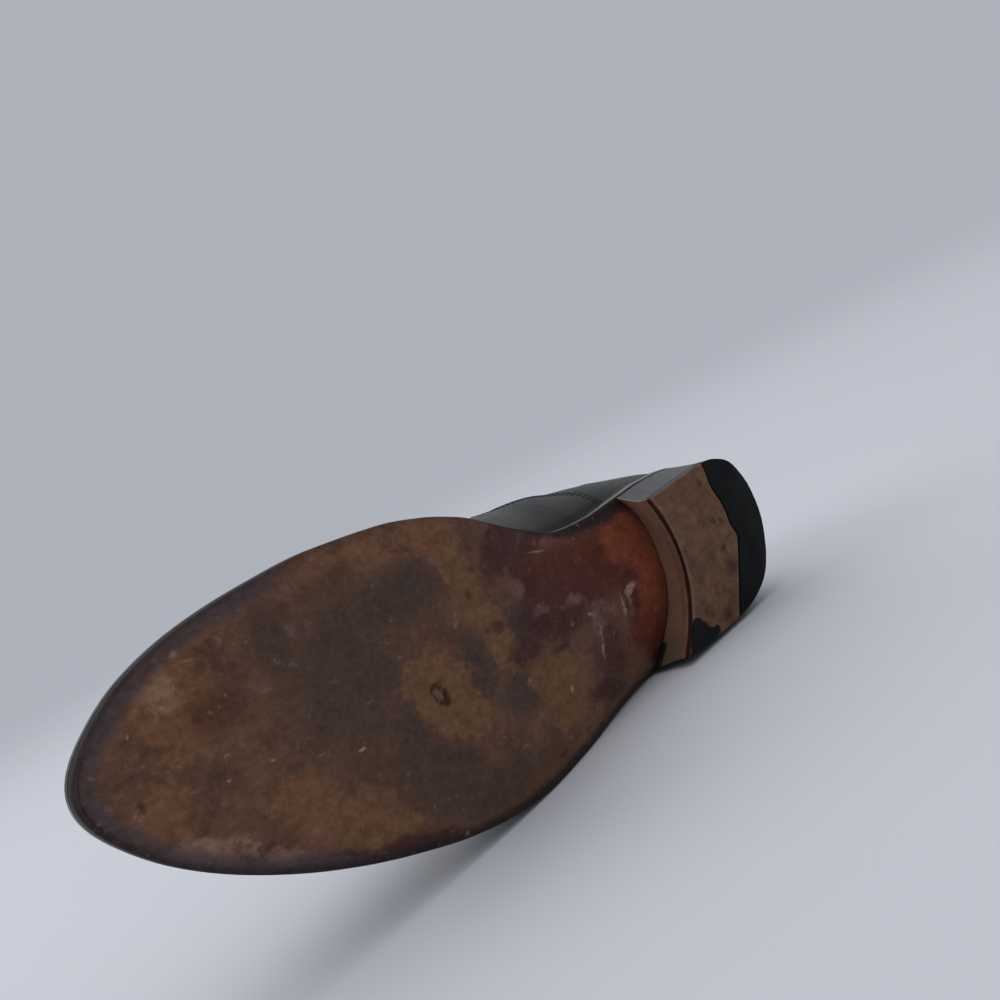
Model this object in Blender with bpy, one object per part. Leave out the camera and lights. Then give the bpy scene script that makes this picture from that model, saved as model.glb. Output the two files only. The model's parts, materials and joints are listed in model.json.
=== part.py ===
"""Oxford shoe, right foot, lying on its outer side. Metres, +Z up.

The pieces are worked out in the frame of the standing shoe: x runs from the back of the heel to
the toe, y to the inner side of the foot and z up from the floor. The last piece of the script
finds how the shoe lies on its side and hangs every piece on an empty with that place.
"""

import math

import bmesh
import bpy
import numpy as np
from mathutils import Matrix, Vector

MM = 0.001

# Driving sizes
SOLE_LENGTH = 303 * MM
SOLE_THICKNESS = 5.0 * MM
WELT_THICKNESS = 2.6 * MM
WELT_WIDTH = 9.0 * MM
HEEL_RAND = 1.2 * MM
EDGE_ROUNDING = 14.0 * MM
INSOLE_THICKNESS = 2.5 * MM
WALL = 2.2 * MM
VAMP_STEP = 1.2 * MM
TOP_PIECE_THICKNESS = 6.0 * MM
SEAT_INSET = 0.5 * MM
HEEL_TAPER = 3.0 * MM
BREAST_CENTRE = 59.5 * MM
BREAST_CURVE = 13.5 * MM
RUBBER_CENTRE = 22.0 * MM
RUBBER_INNER = 31.0 * MM
RUBBER_OUTER = 38.0 * MM
THROAT_GAP = 2.0 * MM
LACE_DIAMETER = 2.2 * MM
EYELET_DIAMETER = 4.6 * MM
EYELET_PAIRS = 5
EYELET_INSET = 11.0 * MM
TONGUE_THICKNESS = 1.6 * MM
BACK_STRIP_THICKNESS = 1.1 * MM
GAP = 0.3 * MM

# Places along the length where pieces begin and end
SEAM_FOOT = 65 * MM
FACING_TOP = 115 * MM
THROAT_BASE = 172 * MM
EYELETS_FROM = 163 * MM
EYELETS_TO = 122 * MM
TONGUE_FROM = 100 * MM
TONGUE_TO = 184 * MM
FLAT_FROM = 188 * MM
FLAT_TO = 228 * MM

# How finely the pieces are faceted
STATIONS = 44
SOLE_COLUMNS = 8
VAMP_ROWS = 7
QUARTER_ROWS = 6
HEEL_SIDE_POINTS = 14
BREAST_POINTS = 7

# Outline of the sole at a station: half widths to the inner and the outer side, and how far the
# upper stands in from the edge. The two ends of the outline are one point each.
OUTLINE = np.array([
    # station, inner, outer, edge margin
    (0, 4.0, 4.0, 2.0),
    (5, 24.4, -15.0, 2.0),
    (13, 33.2, -25.0, 2.0),
    (28, 37.5, -32.5, 1.8),
    (48, 35.8, -37.0, 1.6),
    (68, 32.0, -39.5, 1.2),
    (88, 28.5, -42.8, 1.2),
    (108, 27.4, -46.8, 1.6),
    (133, 33.1, -52.0, 2.6),
    (163, 43.9, -56.4, 3.6),
    (178, 47.0, -57.2, 3.9),
    (193, 48.4, -56.2, 4.2),
    (218, 47.4, -51.6, 4.4),
    (243, 43.2, -44.5, 4.6),
    (265, 37.1, -35.6, 4.6),
    (283, 28.3, -25.3, 4.6),
    (296, 16.5, -13.5, 4.6),
    (303, 1.2, 1.2, 4.6),
]) * MM

# How much of the taper the heel's side has: none at its inner back corner, most along the inner side.
TAPER_ROUND = np.array([
    # angle round the heel (positive along the inner side), share of the taper
    (-0.40, 1.0),
    (-0.15, 0.7),
    (0.0, 0.35),
    (0.2, 0.1),
    (0.45, 0.2),
    (0.65, 0.9),
    (0.85, 1.5),
])

# Side view of the sole: height of its underside at the edges, how far the rim is rounded up, and
# how much lower the middle of the waist swells than its edges.
PROFILE = np.array([
    # station, underside, edge lift, waist swell
    (0, 24.0, 0.0, 0.0),
    (36, 22.2, 0.0, 0.0),
    (46, 21.7, 0.0, 2.5),
    (58, 21.1, 0.0, 8.0),
    (72, 20.4, 0.0, 8.4),
    (90, 17.0, 1.0, 7.0),
    (110, 12.0, 1.4, 4.4),
    (135, 5.6, 1.2, 1.8),
    (163, 1.0, 0.8, 0.4),
    (188, 0.0, 0.6, 0.0),
    (228, 0.0, 0.6, 0.0),
    (246, 0.8, 0.6, 0.0),
    (268, 3.0, 0.6, 0.0),
    (285, 5.8, 0.6, 0.0),
    (303, 10.0, 0.6, 0.0),
]) * MM

# Top centre line of the last, over the ankle, down the instep and out to the toe.
CROWN = np.array([
    # x, y, height
    (30, 0.0, 122.0),
    (62, -0.5, 121.0),
    (88, -1.5, 117.0),
    (115, -3.0, 106.0),
    (142, -4.0, 87.5),
    (172, -4.0, 69.5),
    (203, -3.0, 57.5),
    (233, -1.5, 50.5),
    (256, 0.0, 45.5),
    (270, 1.0, 42.0),
]) * MM

# Cross-sections of the last: where along the crown the section ends, how high its side rises
# before it turns in, how far it swells over the edge of the sole, and how full its shoulder is.
SECTIONS = np.array([
    # station, crown x, rise share, inner swell, outer swell, shoulder share
    (0, 42, 0.32, 6, 6, 0.86),
    (28, 46, 0.32, 12, 9, 0.88),
    (48, 54, 0.30, 19.5, 9, 0.90),
    (72, 74, 0.28, 31, 5, 0.90),
    (97, 97, 0.30, 40.5, 5.5, 0.88),
    (117, 117, 0.34, 37, 9, 0.82),
    (142, 142, 0.40, 20, 8, 0.68),
    (172, 172, 0.46, 7.5, 6, 0.60),
    (203, 203, 0.50, 4, 4, 0.60),
    (238, 235, 0.56, 3, 3, 0.62),
    (268, 254, 0.62, 2.5, 2.5, 0.66),
    (303, 264, 0.70, 2, 2, 0.70),
])
SECTIONS[:, [0, 1, 3, 4]] *= MM

# Height of the collar's edge on the two sides; it meets the crown at the top of the facings.
TOPLINE = np.array([
    # x, inner, outer
    (-5, 99.0, 99.0),
    (6, 98.5, 98.5),
    (22, 95.0, 94.0),
    (46, 88.0, 85.0),
    (66, 86.0, 82.0),
    (86, 90.0, 86.0),
    (102, 98.5, 95.5),
    (115, 107.0, 107.0),
]) * MM

# Height of the seam where the vamp laps over the quarters: up from the sole at the heel breast,
# low along the waist and up to the foot of the lacing.
SEAM = np.array([
    # x, height
    (65, 20.0),
    (69, 36.0),
    (76, 42.0),
    (90, 46.5),
    (112, 50.5),
    (137, 57.0),
    (157, 64.0),
    (172, 72.0),
]) * MM

PIECES = bpy.data.collections.new("oxford_shoe")
CUTTERS = bpy.data.collections.new("cutters")


# Curves through the tables


def through(xs, ys):
    """A smooth curve through the points that never overshoots them (monotone cubic)."""
    xs, ys = np.asarray(xs, float), np.asarray(ys, float)
    step = np.diff(xs)
    rise = np.diff(ys) / step
    slope = np.zeros(len(xs))
    same_way = rise[:-1] * rise[1:] > 0
    before, after = 2 * step[1:] + step[:-1], step[1:] + 2 * step[:-1]
    with np.errstate(divide="ignore", invalid="ignore"):
        mean = (before + after) / (before / rise[:-1] + after / rise[1:])
    slope[1:-1] = np.where(same_way, mean, 0)
    slope[0], slope[-1] = rise[0], rise[-1]

    def value(x):
        x = np.clip(x, xs[0], xs[-1])
        i = np.clip(np.searchsorted(xs, x) - 1, 0, len(step) - 1)
        t = (x - xs[i]) / step[i]
        bend = (slope[i] * step[i] * (1 - t) - slope[i + 1] * step[i] * t) * t * (1 - t)
        ease = t * t * (3 - 2 * t)
        return ys[i] + (ys[i + 1] - ys[i]) * ease + bend

    return value


def turn_of(station):
    """A station as an angle round the outline, which opens up the two round ends."""
    return np.arccos(np.clip(1 - 2 * np.asarray(station) / SOLE_LENGTH, -1, 1))


def station_of(turn):
    return SOLE_LENGTH / 2 * (1 - np.cos(turn))


OUTLINE_TURNS = turn_of(OUTLINE[:, 0])
inner_edge = through(OUTLINE_TURNS, OUTLINE[:, 1])
outer_edge = through(OUTLINE_TURNS, OUTLINE[:, 2])
edge_margin = through(OUTLINE_TURNS, OUTLINE[:, 3])
underside = through(PROFILE[:, 0], PROFILE[:, 1])
edge_lift = through(PROFILE[:, 0], PROFILE[:, 2])
waist_swell = through(PROFILE[:, 0], PROFILE[:, 3])
crown_y = through(CROWN[:, 0], CROWN[:, 1])
crown_z = through(CROWN[:, 0], CROWN[:, 2])
crown_x, rise_share, inner_swell, outer_swell, shoulder_share = (
    through(turn_of(SECTIONS[:, 0]), SECTIONS[:, column]) for column in range(1, 6)
)
inner_topline = through(TOPLINE[:, 0], TOPLINE[:, 1])
outer_topline = through(TOPLINE[:, 0], TOPLINE[:, 2])
seam_height = through(SEAM[:, 0], SEAM[:, 1])


def edge_point(side, turn, inset=0.0):
    """A point of the sole's outline in plan, moved in from the edge. Side is 1 inner, -1 outer."""
    edge = inner_edge if side > 0 else outer_edge
    step = 1e-3

    def at(angle):
        folded = np.where(angle < 0, -angle, np.where(angle > math.pi, 2 * math.pi - angle, angle))
        other = (angle < 0) | (angle > math.pi)
        far_edge = outer_edge if side > 0 else inner_edge
        return np.array([station_of(folded), np.where(other, far_edge(folded), edge(folded))])

    along = at(turn + step) - at(turn - step)
    along = along / np.linalg.norm(along)
    inward = np.array([along[1], -along[0]]) * side
    return at(turn) + inward * inset


def welt_depth(x):
    """The welt is full round the forefoot and thins out to a rand at the heel."""
    share = np.clip((x - 70 * MM) / (70 * MM), 0, 1)
    return HEEL_RAND + (WELT_THICKNESS - HEEL_RAND) * share * share * (3 - 2 * share)


def sole_bottom(x, across, half_width):
    """Height of the sole's underside; across is 1 at the inner edge and -1 at the outer one."""
    from_edge = (1 - abs(across)) * half_width
    near_edge = np.clip(1 - from_edge / EDGE_ROUNDING, 0, 1)
    return underside(x) + edge_lift(x) * near_edge**2 - waist_swell(x) * (1 - across**2)


def feather_height(x):
    """Height where the upper stands on the welt."""
    return underside(x) + SOLE_THICKNESS + GAP + welt_depth(x) + GAP


# The last


def last_point(side, turn, v):
    """A point of the upper's outer face: v runs from the feather line, 0, to the crown, 1."""
    foot_x, foot_y = edge_point(side, turn, edge_margin(turn))
    foot = np.array([foot_x, foot_y, feather_height(foot_x)])
    top_x = crown_x(turn)
    top = np.array([top_x, crown_y(top_x), crown_z(top_x)])
    reach = foot[:2] - top[:2]
    width = np.linalg.norm(reach)
    out = np.append(reach / width, 0)
    up = np.array([0, 0, 1])
    swell = inner_swell(turn) if side > 0 else outer_swell(turn)
    slope = (crown_z(top_x + MM) - crown_z(top_x - MM)) / (2 * MM)
    shoulder = shoulder_share(turn) * width
    lower = foot + out * swell + up * (rise_share(turn) * (top[2] - foot[2]))
    upper = top + out * shoulder + up * (slope * out[0] * shoulder)
    w = 1 - v
    return foot * w**3 + 3 * lower * w * w * v + 3 * upper * w * v * v + top * v**3


def last_normal(side, turn, v):
    """Outward normal of the upper's face. Along the feather line it stays level."""
    step = 2e-3
    if v > 1 - step:
        top_x = crown_x(turn)
        normal = np.array([crown_z(top_x - MM) - crown_z(top_x + MM), 0, 2 * MM])
        return normal / np.linalg.norm(normal)
    t0, t1 = max(turn - step, 1e-4), min(turn + step, math.pi - 1e-4)
    along = last_point(side, t1, v) - last_point(side, t0, v)
    upward = last_point(side, turn, v + step) - last_point(side, turn, max(v - step, 0))
    normal = np.cross(upward, along) * side
    if v < 1e-6:
        normal[2] = 0
    return normal / np.linalg.norm(normal)


def share_where(side, turn, measure):
    """The share v of a section at which measure(point) first stops being negative."""
    low, high = 0.0, 1.0
    if measure(last_point(side, turn, 0.0)) >= 0:
        return 0.0
    if measure(last_point(side, turn, 1.0)) < 0:
        return 1.0
    for _ in range(40):
        middle = (low + high) / 2
        if measure(last_point(side, turn, middle)) < 0:
            low = middle
        else:
            high = middle
    return high


def collar_share(side, turn):
    """Where a section ends: at the collar, beside the throat or on the crown."""
    x = station_of(turn)
    if x >= THROAT_BASE - 1e-6:
        return 1.0
    if x >= FACING_TOP - 1e-6:
        half_gap = THROAT_GAP * (THROAT_BASE - x) / (THROAT_BASE - FACING_TOP)
        return share_where(side, turn, lambda p: half_gap - abs(p[1] - crown_y(p[0])))
    height = inner_topline if side > 0 else outer_topline
    return share_where(side, turn, lambda p: p[2] - height(p[0]))


def seam_share(side, turn):
    """How much of a section, from the feather line up, the vamp covers."""
    x = station_of(turn)
    if x <= SEAM_FOOT + 1e-6:
        return 0.0
    if x >= THROAT_BASE - 1e-6:
        return 1.0
    return share_where(side, turn, lambda p: p[2] - seam_height(p[0]))


def ring_of_stations():
    """(side, turn) of each section round the shoe, from the heel along the inner side."""
    turns = np.linspace(0, math.pi, STATIONS + 1)
    for place in (SEAM_FOOT, FACING_TOP, THROAT_BASE, FLAT_FROM, FLAT_TO):
        turns[np.argmin(abs(turns - turn_of(place)))] = turn_of(place)
    inner = [(1, turn) for turn in turns]
    outer = [(-1, turn) for turn in turns[-2:0:-1]]
    return inner + outer, turns


RING, TURNS = ring_of_stations()


# Building solids


def finish_piece(name, mesh_data, colour, roughness, metallic=0.0, smooth_angle=40):
    """One named object in the shoe's collection, with its own material."""
    bmesh.ops.remove_doubles(mesh_data, verts=mesh_data.verts, dist=2e-6)
    bmesh.ops.dissolve_degenerate(mesh_data, edges=mesh_data.edges, dist=1e-7)
    bmesh.ops.recalc_face_normals(mesh_data, faces=mesh_data.faces)
    mesh = bpy.data.meshes.new(name)
    mesh_data.to_mesh(mesh)
    mesh_data.free()
    mesh.shade_smooth()
    mesh.set_sharp_from_angle(angle=math.radians(smooth_angle))
    piece = bpy.data.objects.new(name, mesh)
    PIECES.objects.link(piece)
    piece.data.materials.append(plain_material(name, colour, roughness, metallic))
    return piece


def plain_material(name, colour, roughness, metallic):
    material = bpy.data.materials.new(name)
    material.use_nodes = True
    shader = material.node_tree.nodes["Principled BSDF"]
    shader.inputs["Base Color"].default_value = (*colour, 1)
    shader.inputs["Roughness"].default_value = roughness
    shader.inputs["Metallic"].default_value = metallic
    return material


def add_grid(mesh_data, points, closed=False):
    """Vertices and faces of a grid of points; a closed grid joins its last row to its first."""
    rows = [[mesh_data.verts.new(point) for point in row] for row in points]
    count = len(rows) if closed else len(rows) - 1
    for r in range(count):
        here, after = rows[r], rows[(r + 1) % len(rows)]
        for c in range(len(here) - 1):
            mesh_data.faces.new((here[c], here[c + 1], after[c + 1], after[c]))
    return rows


def join_edges(mesh_data, first, second):
    """A strip of faces between two lines of vertices of the same length."""
    for k in range(len(first) - 1):
        mesh_data.faces.new((first[k], first[k + 1], second[k + 1], second[k]))


def solid_between(name, top, bottom, colour, roughness, closed=False):
    """A closed solid between two grids of points; a closed one runs round in a ring."""
    mesh_data = bmesh.new()
    upper, lower = add_grid(mesh_data, top, closed), add_grid(mesh_data, bottom, closed)
    if closed:
        upper, lower = upper + upper[:1], lower + lower[:1]
    else:
        join_edges(mesh_data, upper[0], lower[0])
        join_edges(mesh_data, upper[-1], lower[-1])
    for column in (0, -1):
        join_edges(mesh_data, [row[column] for row in upper], [row[column] for row in lower])
    return finish_piece(name, mesh_data, colour, roughness)


def block_between(name, lower, upper, colour, roughness):
    """A closed solid between two outlines with the same number of points."""
    mesh_data = bmesh.new()
    rings = [[mesh_data.verts.new(point) for point in outline] for outline in (lower, upper)]
    for ring in rings:
        mesh_data.faces.new(ring)
    for k in range(len(lower)):
        after = (k + 1) % len(lower)
        mesh_data.faces.new((rings[0][k], rings[0][after], rings[1][after], rings[1][k]))
    return finish_piece(name, mesh_data, colour, roughness, smooth_angle=30)


# Sole and heel


def sole_grids(lowered=0.0, wider=1.0):
    """Grids of the sole's upper side and of its underside, which can be lowered and widened."""
    across = np.sin(np.linspace(math.pi / 2, -math.pi / 2, SOLE_COLUMNS + 1))
    bottom, top = [], []
    for turn in TURNS:
        inner, outer = edge_point(1, turn), edge_point(-1, turn)
        half_width = np.linalg.norm(inner - outer) / 2
        line = [(share, *(outer + (inner - outer) * (share * wider + 1) / 2)) for share in across]
        bottom.append([(x, y, sole_bottom(x, share, half_width) - lowered) for share, x, y in line])
        top.append([(x, y, underside(x) + SOLE_THICKNESS) for share, x, y in line])
    return top, bottom


def build_outsole():
    """Leather outsole: rocker and arch in length, the middle of its waist swelling down."""
    top, bottom = sole_grids()
    return solid_between("outsole", top, bottom, (0.16, 0.085, 0.05), 0.6)


def build_welt():
    """Welt between sole and upper, carried on round the heel as a thin rand."""
    top, bottom = [], []
    for side, turn in RING:
        line = edge_point(side, turn), edge_point(side, turn, WELT_WIDTH)
        bottom.append([(x, y, underside(x) + SOLE_THICKNESS + GAP) for x, y in line])
        top.append([(x, y, feather_height(x) - GAP) for x, y in line])
    return solid_between("welt", top, bottom, (0.03, 0.028, 0.028), 0.4, closed=True)


def build_insole():
    """Insole board inside the upper, its rim on the welt."""
    across = np.linspace(1, -1, 5)
    inset = WALL + 2 * GAP
    bottom, top = [], []
    for turn in TURNS:
        inner = edge_point(1, turn, edge_margin(turn) + inset)
        outer = edge_point(-1, turn, edge_margin(turn) + inset)
        line = [outer + (inner - outer) * (share + 1) / 2 for share in across]
        bottom.append([(x, y, feather_height(x)) for x, y in line])
        top.append([(x, y, feather_height(x) + INSOLE_THICKNESS) for x, y in line])
    return solid_between("insole", top, bottom, (0.42, 0.33, 0.22), 0.7)


def breast_x(y):
    """The heel breast is hollow: its corners reach further forward than its middle."""
    half = 36 * MM
    return BREAST_CENTRE + BREAST_CURVE * (y / half) ** 2


def heel_edge(side, turn, inset):
    """A point of the heel's outline, moved in by its taper, which changes round the heel."""
    return edge_point(side, turn, inset * np.interp(side * turn, TAPER_ROUND[:, 0], TAPER_ROUND[:, 1]))


def breast_corner(side, inset):
    """The angle round the outline at which the heel's side meets the breast."""
    low, high = 0.0, math.pi / 2
    for _ in range(40):
        turn = (low + high) / 2
        x, y = heel_edge(side, turn, inset)
        low, high = (turn, high) if x < breast_x(y) else (low, turn)
    return low


def heel_outline(inset):
    """The heel's outline, from the inner breast corner round the back and along the breast."""
    inner = np.linspace(breast_corner(1, inset), 0, HEEL_SIDE_POINTS)
    outer = np.linspace(0, breast_corner(-1, inset), HEEL_SIDE_POINTS)
    sides = [heel_edge(1, turn, inset) for turn in inner]
    sides += [heel_edge(-1, turn, inset) for turn in outer[1:]]
    across = np.linspace(sides[-1][1], sides[0][1], BREAST_POINTS + 2)[1:-1]
    return np.array(sides + [(breast_x(y), y) for y in across])


def build_heel_stack():
    """Stacked leather of the heel, narrower at the foot than at the seat, cut to the sole."""
    head_height, foot_height = underside(0) + GAP, TOP_PIECE_THICKNESS + GAP
    head = [(x, y, head_height) for x, y in heel_outline(SEAT_INSET)]
    foot = [(x, y, foot_height) for x, y in heel_outline(HEEL_TAPER)]
    stack = block_between("heel_stack", foot, head, (0.05, 0.04, 0.035), 0.45)
    top, bottom = sole_grids(lowered=GAP, wider=1.1)
    cutter = solid_between("sole_cutter", top, bottom, (0.5, 0.5, 0.5), 0.5)
    cut_away(stack, cutter)
    return stack


def cut_away(piece, cutter):
    """Subtracts the cutter, which is kept out of the shoe's own collection."""
    if cutter.name in PIECES.objects:
        PIECES.objects.unlink(cutter)
    CUTTERS.objects.link(cutter)
    cutter.hide_render = True
    cutter.display_type = "WIRE"
    cut = piece.modifiers.new(cutter.name, "BOOLEAN")
    cut.operation = "DIFFERENCE"
    cut.object = cutter


def rubber_line(y):
    """Front edge of the rubber: a wide V that points back."""
    half = 34 * MM
    side = RUBBER_INNER if y > 0 else RUBBER_OUTER
    return RUBBER_CENTRE + (side - RUBBER_CENTRE) * abs(y) / half


def tread_parts():
    """The heel's tread outline, split where the rubber's front edge crosses its two sides."""
    outline = heel_outline(HEEL_TAPER)
    sides = 2 * HEEL_SIDE_POINTS - 1
    ahead = np.array([x - rubber_line(y) for x, y in outline[:sides]])
    first = int(np.argmax(ahead < 0))
    last = sides - 1 - int(np.argmax(ahead[::-1] < 0))

    def crossing(near, far):
        share = ahead[near] / (ahead[near] - ahead[far])
        return outline[near] + (outline[far] - outline[near]) * share

    line = [crossing(first - 1, first), (RUBBER_CENTRE, 0.0), crossing(last, last + 1)]
    return list(outline[:first]), list(outline[first : last + 1]), list(outline[last + 1 :]), line


def build_top_piece():
    """Leather top piece under the stack, ending at the rubber."""
    inner, back, outer, line = tread_parts()
    ring = inner + [(x + GAP / 2, y) for x, y in line] + outer
    return flat_block("heel_top_piece", ring, (0.21, 0.135, 0.075), 0.75)


def build_rubber_tip():
    """Rubber quarter at the back of the heel."""
    inner, back, outer, line = tread_parts()
    ring = back + [(x - GAP / 2, y) for x, y in line[::-1]]
    return flat_block("heel_rubber_tip", ring, (0.018, 0.018, 0.02), 0.65)


def flat_block(name, ring, colour, roughness):
    lower = [(x, y, 0.0) for x, y in ring]
    upper = [(x, y, TOP_PIECE_THICKNESS) for x, y in ring]
    return block_between(name, lower, upper, colour, roughness)


# Upper


def section_rows(side, turn):
    """(share, stands proud) of each vertex of a section, with two at the vamp's edge."""
    end, seam = collar_share(side, turn), seam_share(side, turn)
    seam = min(seam, end)
    has_vamp, has_quarter = seam > 1e-6, seam < end - 1e-6
    vamp = [(share, VAMP_STEP if has_vamp else 0) for share in np.linspace(0, seam, VAMP_ROWS + 1)]
    proud = 0 if has_quarter else VAMP_STEP
    quarter = [(share, proud) for share in np.linspace(seam, end, QUARTER_ROWS + 1)]
    return vamp + quarter


def build_upper():
    """Vamp and quarters as one wall on the last, open at the collar, throat and underneath."""
    outer, inner = [], []
    for side, turn in RING:
        outside, inside = [], []
        for share, proud in section_rows(side, turn):
            point, normal = last_point(side, turn, share), last_normal(side, turn, share)
            outside.append(point + normal * proud)
            inside.append(point - normal * WALL)
        outer.append(outside)
        inner.append(inside)
    mesh_data = bmesh.new()
    outer_rows = add_grid(mesh_data, outer, closed=True)
    inner_rows = add_grid(mesh_data, inner, closed=True)
    count = len(RING)
    throat = int(np.argmin(abs(TURNS - turn_of(THROAT_BASE))))
    for k in range(count):
        after = (k + 1) % count
        join_edges(
            mesh_data,
            [outer_rows[k][0], outer_rows[after][0]],
            [inner_rows[k][0], inner_rows[after][0]],
        )
        if k < throat or k >= count - throat:
            join_edges(
                mesh_data,
                [outer_rows[k][-1], outer_rows[after][-1]],
                [inner_rows[k][-1], inner_rows[after][-1]],
            )
    upper = finish_piece("upper", mesh_data, (0.022, 0.022, 0.024), 0.35)
    punch_eyelets(upper)
    return upper


def facing_point(side, x, distance, depth):
    """A point over the facing: at this distance from the crown line, this far off the last."""
    turn = turn_of(x)
    share = share_where(side, turn, lambda p: distance - abs(p[1] - crown_y(p[0])))
    return last_point(side, turn, share) + last_normal(side, turn, share) * depth


def eyelet_stations():
    return np.linspace(EYELETS_FROM, EYELETS_TO, EYELET_PAIRS)


def punch_eyelets(upper):
    """Cuts the eyelet holes through the facings."""
    length = 12 * MM
    mesh_data = bmesh.new()
    for x in eyelet_stations():
        for side in (1, -1):
            foot = facing_point(side, x, EYELET_INSET, -length / 2)
            head = facing_point(side, x, EYELET_INSET, length / 2)
            turned = Vector(head - foot).to_track_quat("Z", "Y").to_matrix().to_4x4()
            place = Matrix.Translation(Vector((head + foot) / 2)) @ turned
            bmesh.ops.create_cone(
                mesh_data,
                cap_ends=True,
                segments=10,
                radius1=EYELET_DIAMETER / 2,
                radius2=EYELET_DIAMETER / 2,
                depth=length,
                matrix=place,
            )
    mesh = bpy.data.meshes.new("eyelet_cutter")
    mesh_data.to_mesh(mesh)
    mesh_data.free()
    cut_away(upper, bpy.data.objects.new("eyelet_cutter", mesh))


def build_back_strip():
    """Short strip over the top of the back seam, lying on the quarters."""
    half_turn, low_share = 0.10, 0.70
    lines = [(-1, t) for t in np.linspace(half_turn, 0, 4)[:-1]]
    lines += [(1, t) for t in np.linspace(0, half_turn, 4)]
    top, bottom = [], []
    for side, turn in lines:
        end = collar_share(side, turn)
        shares = np.linspace(low_share * end, end, 6)
        faces = [(last_point(side, turn, v), last_normal(side, max(turn, 0.01), v)) for v in shares]
        bottom.append([point + normal * GAP for point, normal in faces])
        top.append([point + normal * (GAP + BACK_STRIP_THICKNESS) for point, normal in faces])
    return solid_between("back_strip", top, bottom, (0.022, 0.022, 0.024), 0.35)


def build_tongue():
    """Tongue under the facings, held close to the vamp at its front end."""
    top, bottom = [], []
    half_width = 22 * MM
    room_for_lace = LACE_DIAMETER + 2 * GAP
    for x in np.linspace(TONGUE_FROM, TONGUE_TO, 12):
        share = np.clip((x - THROAT_BASE) / (TONGUE_TO - THROAT_BASE), 0, 1)
        depth = WALL + 1.5 * GAP + room_for_lace * (1 - share)
        upper_line, lower_line = [], []
        for across in np.linspace(1, -1, 11):
            side = 1 if across >= 0 else -1
            distance = max(abs(across) * half_width, 0.05 * MM)
            upper_line.append(facing_point(side, x, distance, -depth))
            lower_line.append(facing_point(side, x, distance, -depth - TONGUE_THICKNESS))
        top.append(upper_line)
        bottom.append(lower_line)
    return solid_between("tongue", top, bottom, (0.02, 0.02, 0.022), 0.5)


def lace_route():
    """The lace crosses outside in bars and climbs inside from one bar to the next."""
    over, under = LACE_DIAMETER / 2 + 2 * GAP, -(WALL + LACE_DIAMETER / 2 + GAP)
    route = []
    side = 1
    for x in eyelet_stations():
        near, far = side, -side
        route.append(facing_point(near, x, EYELET_INSET, under))
        route.append(facing_point(near, x, EYELET_INSET, over * 0.2))
        for hand, distance in ((near, 0.7), (near, 0.3), (far, 0.3), (far, 0.7)):
            route.append(facing_point(hand, x, EYELET_INSET * distance, over + VAMP_STEP))
        route.append(facing_point(far, x, EYELET_INSET, over * 0.2))
        route.append(facing_point(far, x, EYELET_INSET, under))
        side = far
    return route


def build_laces():
    """Round waxed lace in straight bars, its ends stopping at the top eyelets."""
    curve = bpy.data.curves.new("laces", "CURVE")
    curve.dimensions = "3D"
    curve.bevel_depth = LACE_DIAMETER / 2
    curve.bevel_resolution = 2
    curve.use_fill_caps = True
    points = rounded_route(lace_route(), per_span=3)
    spline = curve.splines.new("POLY")
    spline.points.add(len(points) - 1)
    for slot, point in zip(spline.points, points):
        slot.co = (*point, 1)
    laces = bpy.data.objects.new("laces", curve)
    PIECES.objects.link(laces)
    curve.materials.append(plain_material("laces", (0.015, 0.015, 0.016), 0.7, 0.0))
    return laces


def rounded_route(route, per_span):
    """Points of a smooth curve through the route (Catmull-Rom)."""
    route = [2 * route[0] - route[1], *route, 2 * route[-1] - route[-2]]
    points = []
    for a, b, c, d in zip(route, route[1:], route[2:], route[3:]):
        for t in np.arange(per_span) / per_span:
            points.append(
                0.5 * (2 * b + (c - a) * t + (2 * a - 5 * b + 4 * c - d) * t * t
                       + (3 * b - a - 3 * c + d) * t**3)
            )
    return points + [route[-2]]


# Lying on its side


def corners_of(pieces):
    """Every vertex of the pieces, and their centre of mass."""
    graph = bpy.context.evaluated_depsgraph_get()
    points, weight, moment = [], 0.0, np.zeros(3)
    for piece in pieces:
        evaluated = piece.evaluated_get(graph)
        mesh = evaluated.to_mesh()
        mesh.calc_loop_triangles()
        corners = np.array([vertex.co for vertex in mesh.vertices])
        faces = np.array([triangle.vertices for triangle in mesh.loop_triangles])
        evaluated.to_mesh_clear()
        volumes = np.linalg.det(corners[faces]) / 6
        weight += volumes.sum()
        moment += (volumes[:, None] * corners[faces].sum(axis=1) / 4).sum(axis=0)
        points.append(corners)
    return np.vstack(points), moment / weight


def resting_normal(points, centre):
    """Outward normal of the hull's face, on the outer side, that the shoe rests on."""
    hull = bmesh.new()
    for point in points:
        hull.verts.new(point)
    result = bmesh.ops.convex_hull(hull, input=hull.verts)
    found = None
    for face in [item for item in result["geom"] if isinstance(item, bmesh.types.BMFace)]:
        corners = [np.array(vertex.co) for vertex in face.verts]
        normal = np.cross(corners[1] - corners[0], corners[2] - corners[0])
        length = np.linalg.norm(normal)
        if length < 1e-9:
            continue
        normal = normal / length
        if np.dot(normal, corners[0] - centre) < 0:
            normal = -normal
        if normal[1] > -0.7:
            continue
        foot = centre + normal * np.dot(normal, corners[0] - centre)
        turns = [
            np.dot(np.cross(b - a, foot - a), normal)
            for a, b in zip(corners, corners[1:] + corners[:1])
        ]
        if min(turns) >= 0 or max(turns) <= 0:
            found = normal
    hull.free()
    return found


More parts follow.
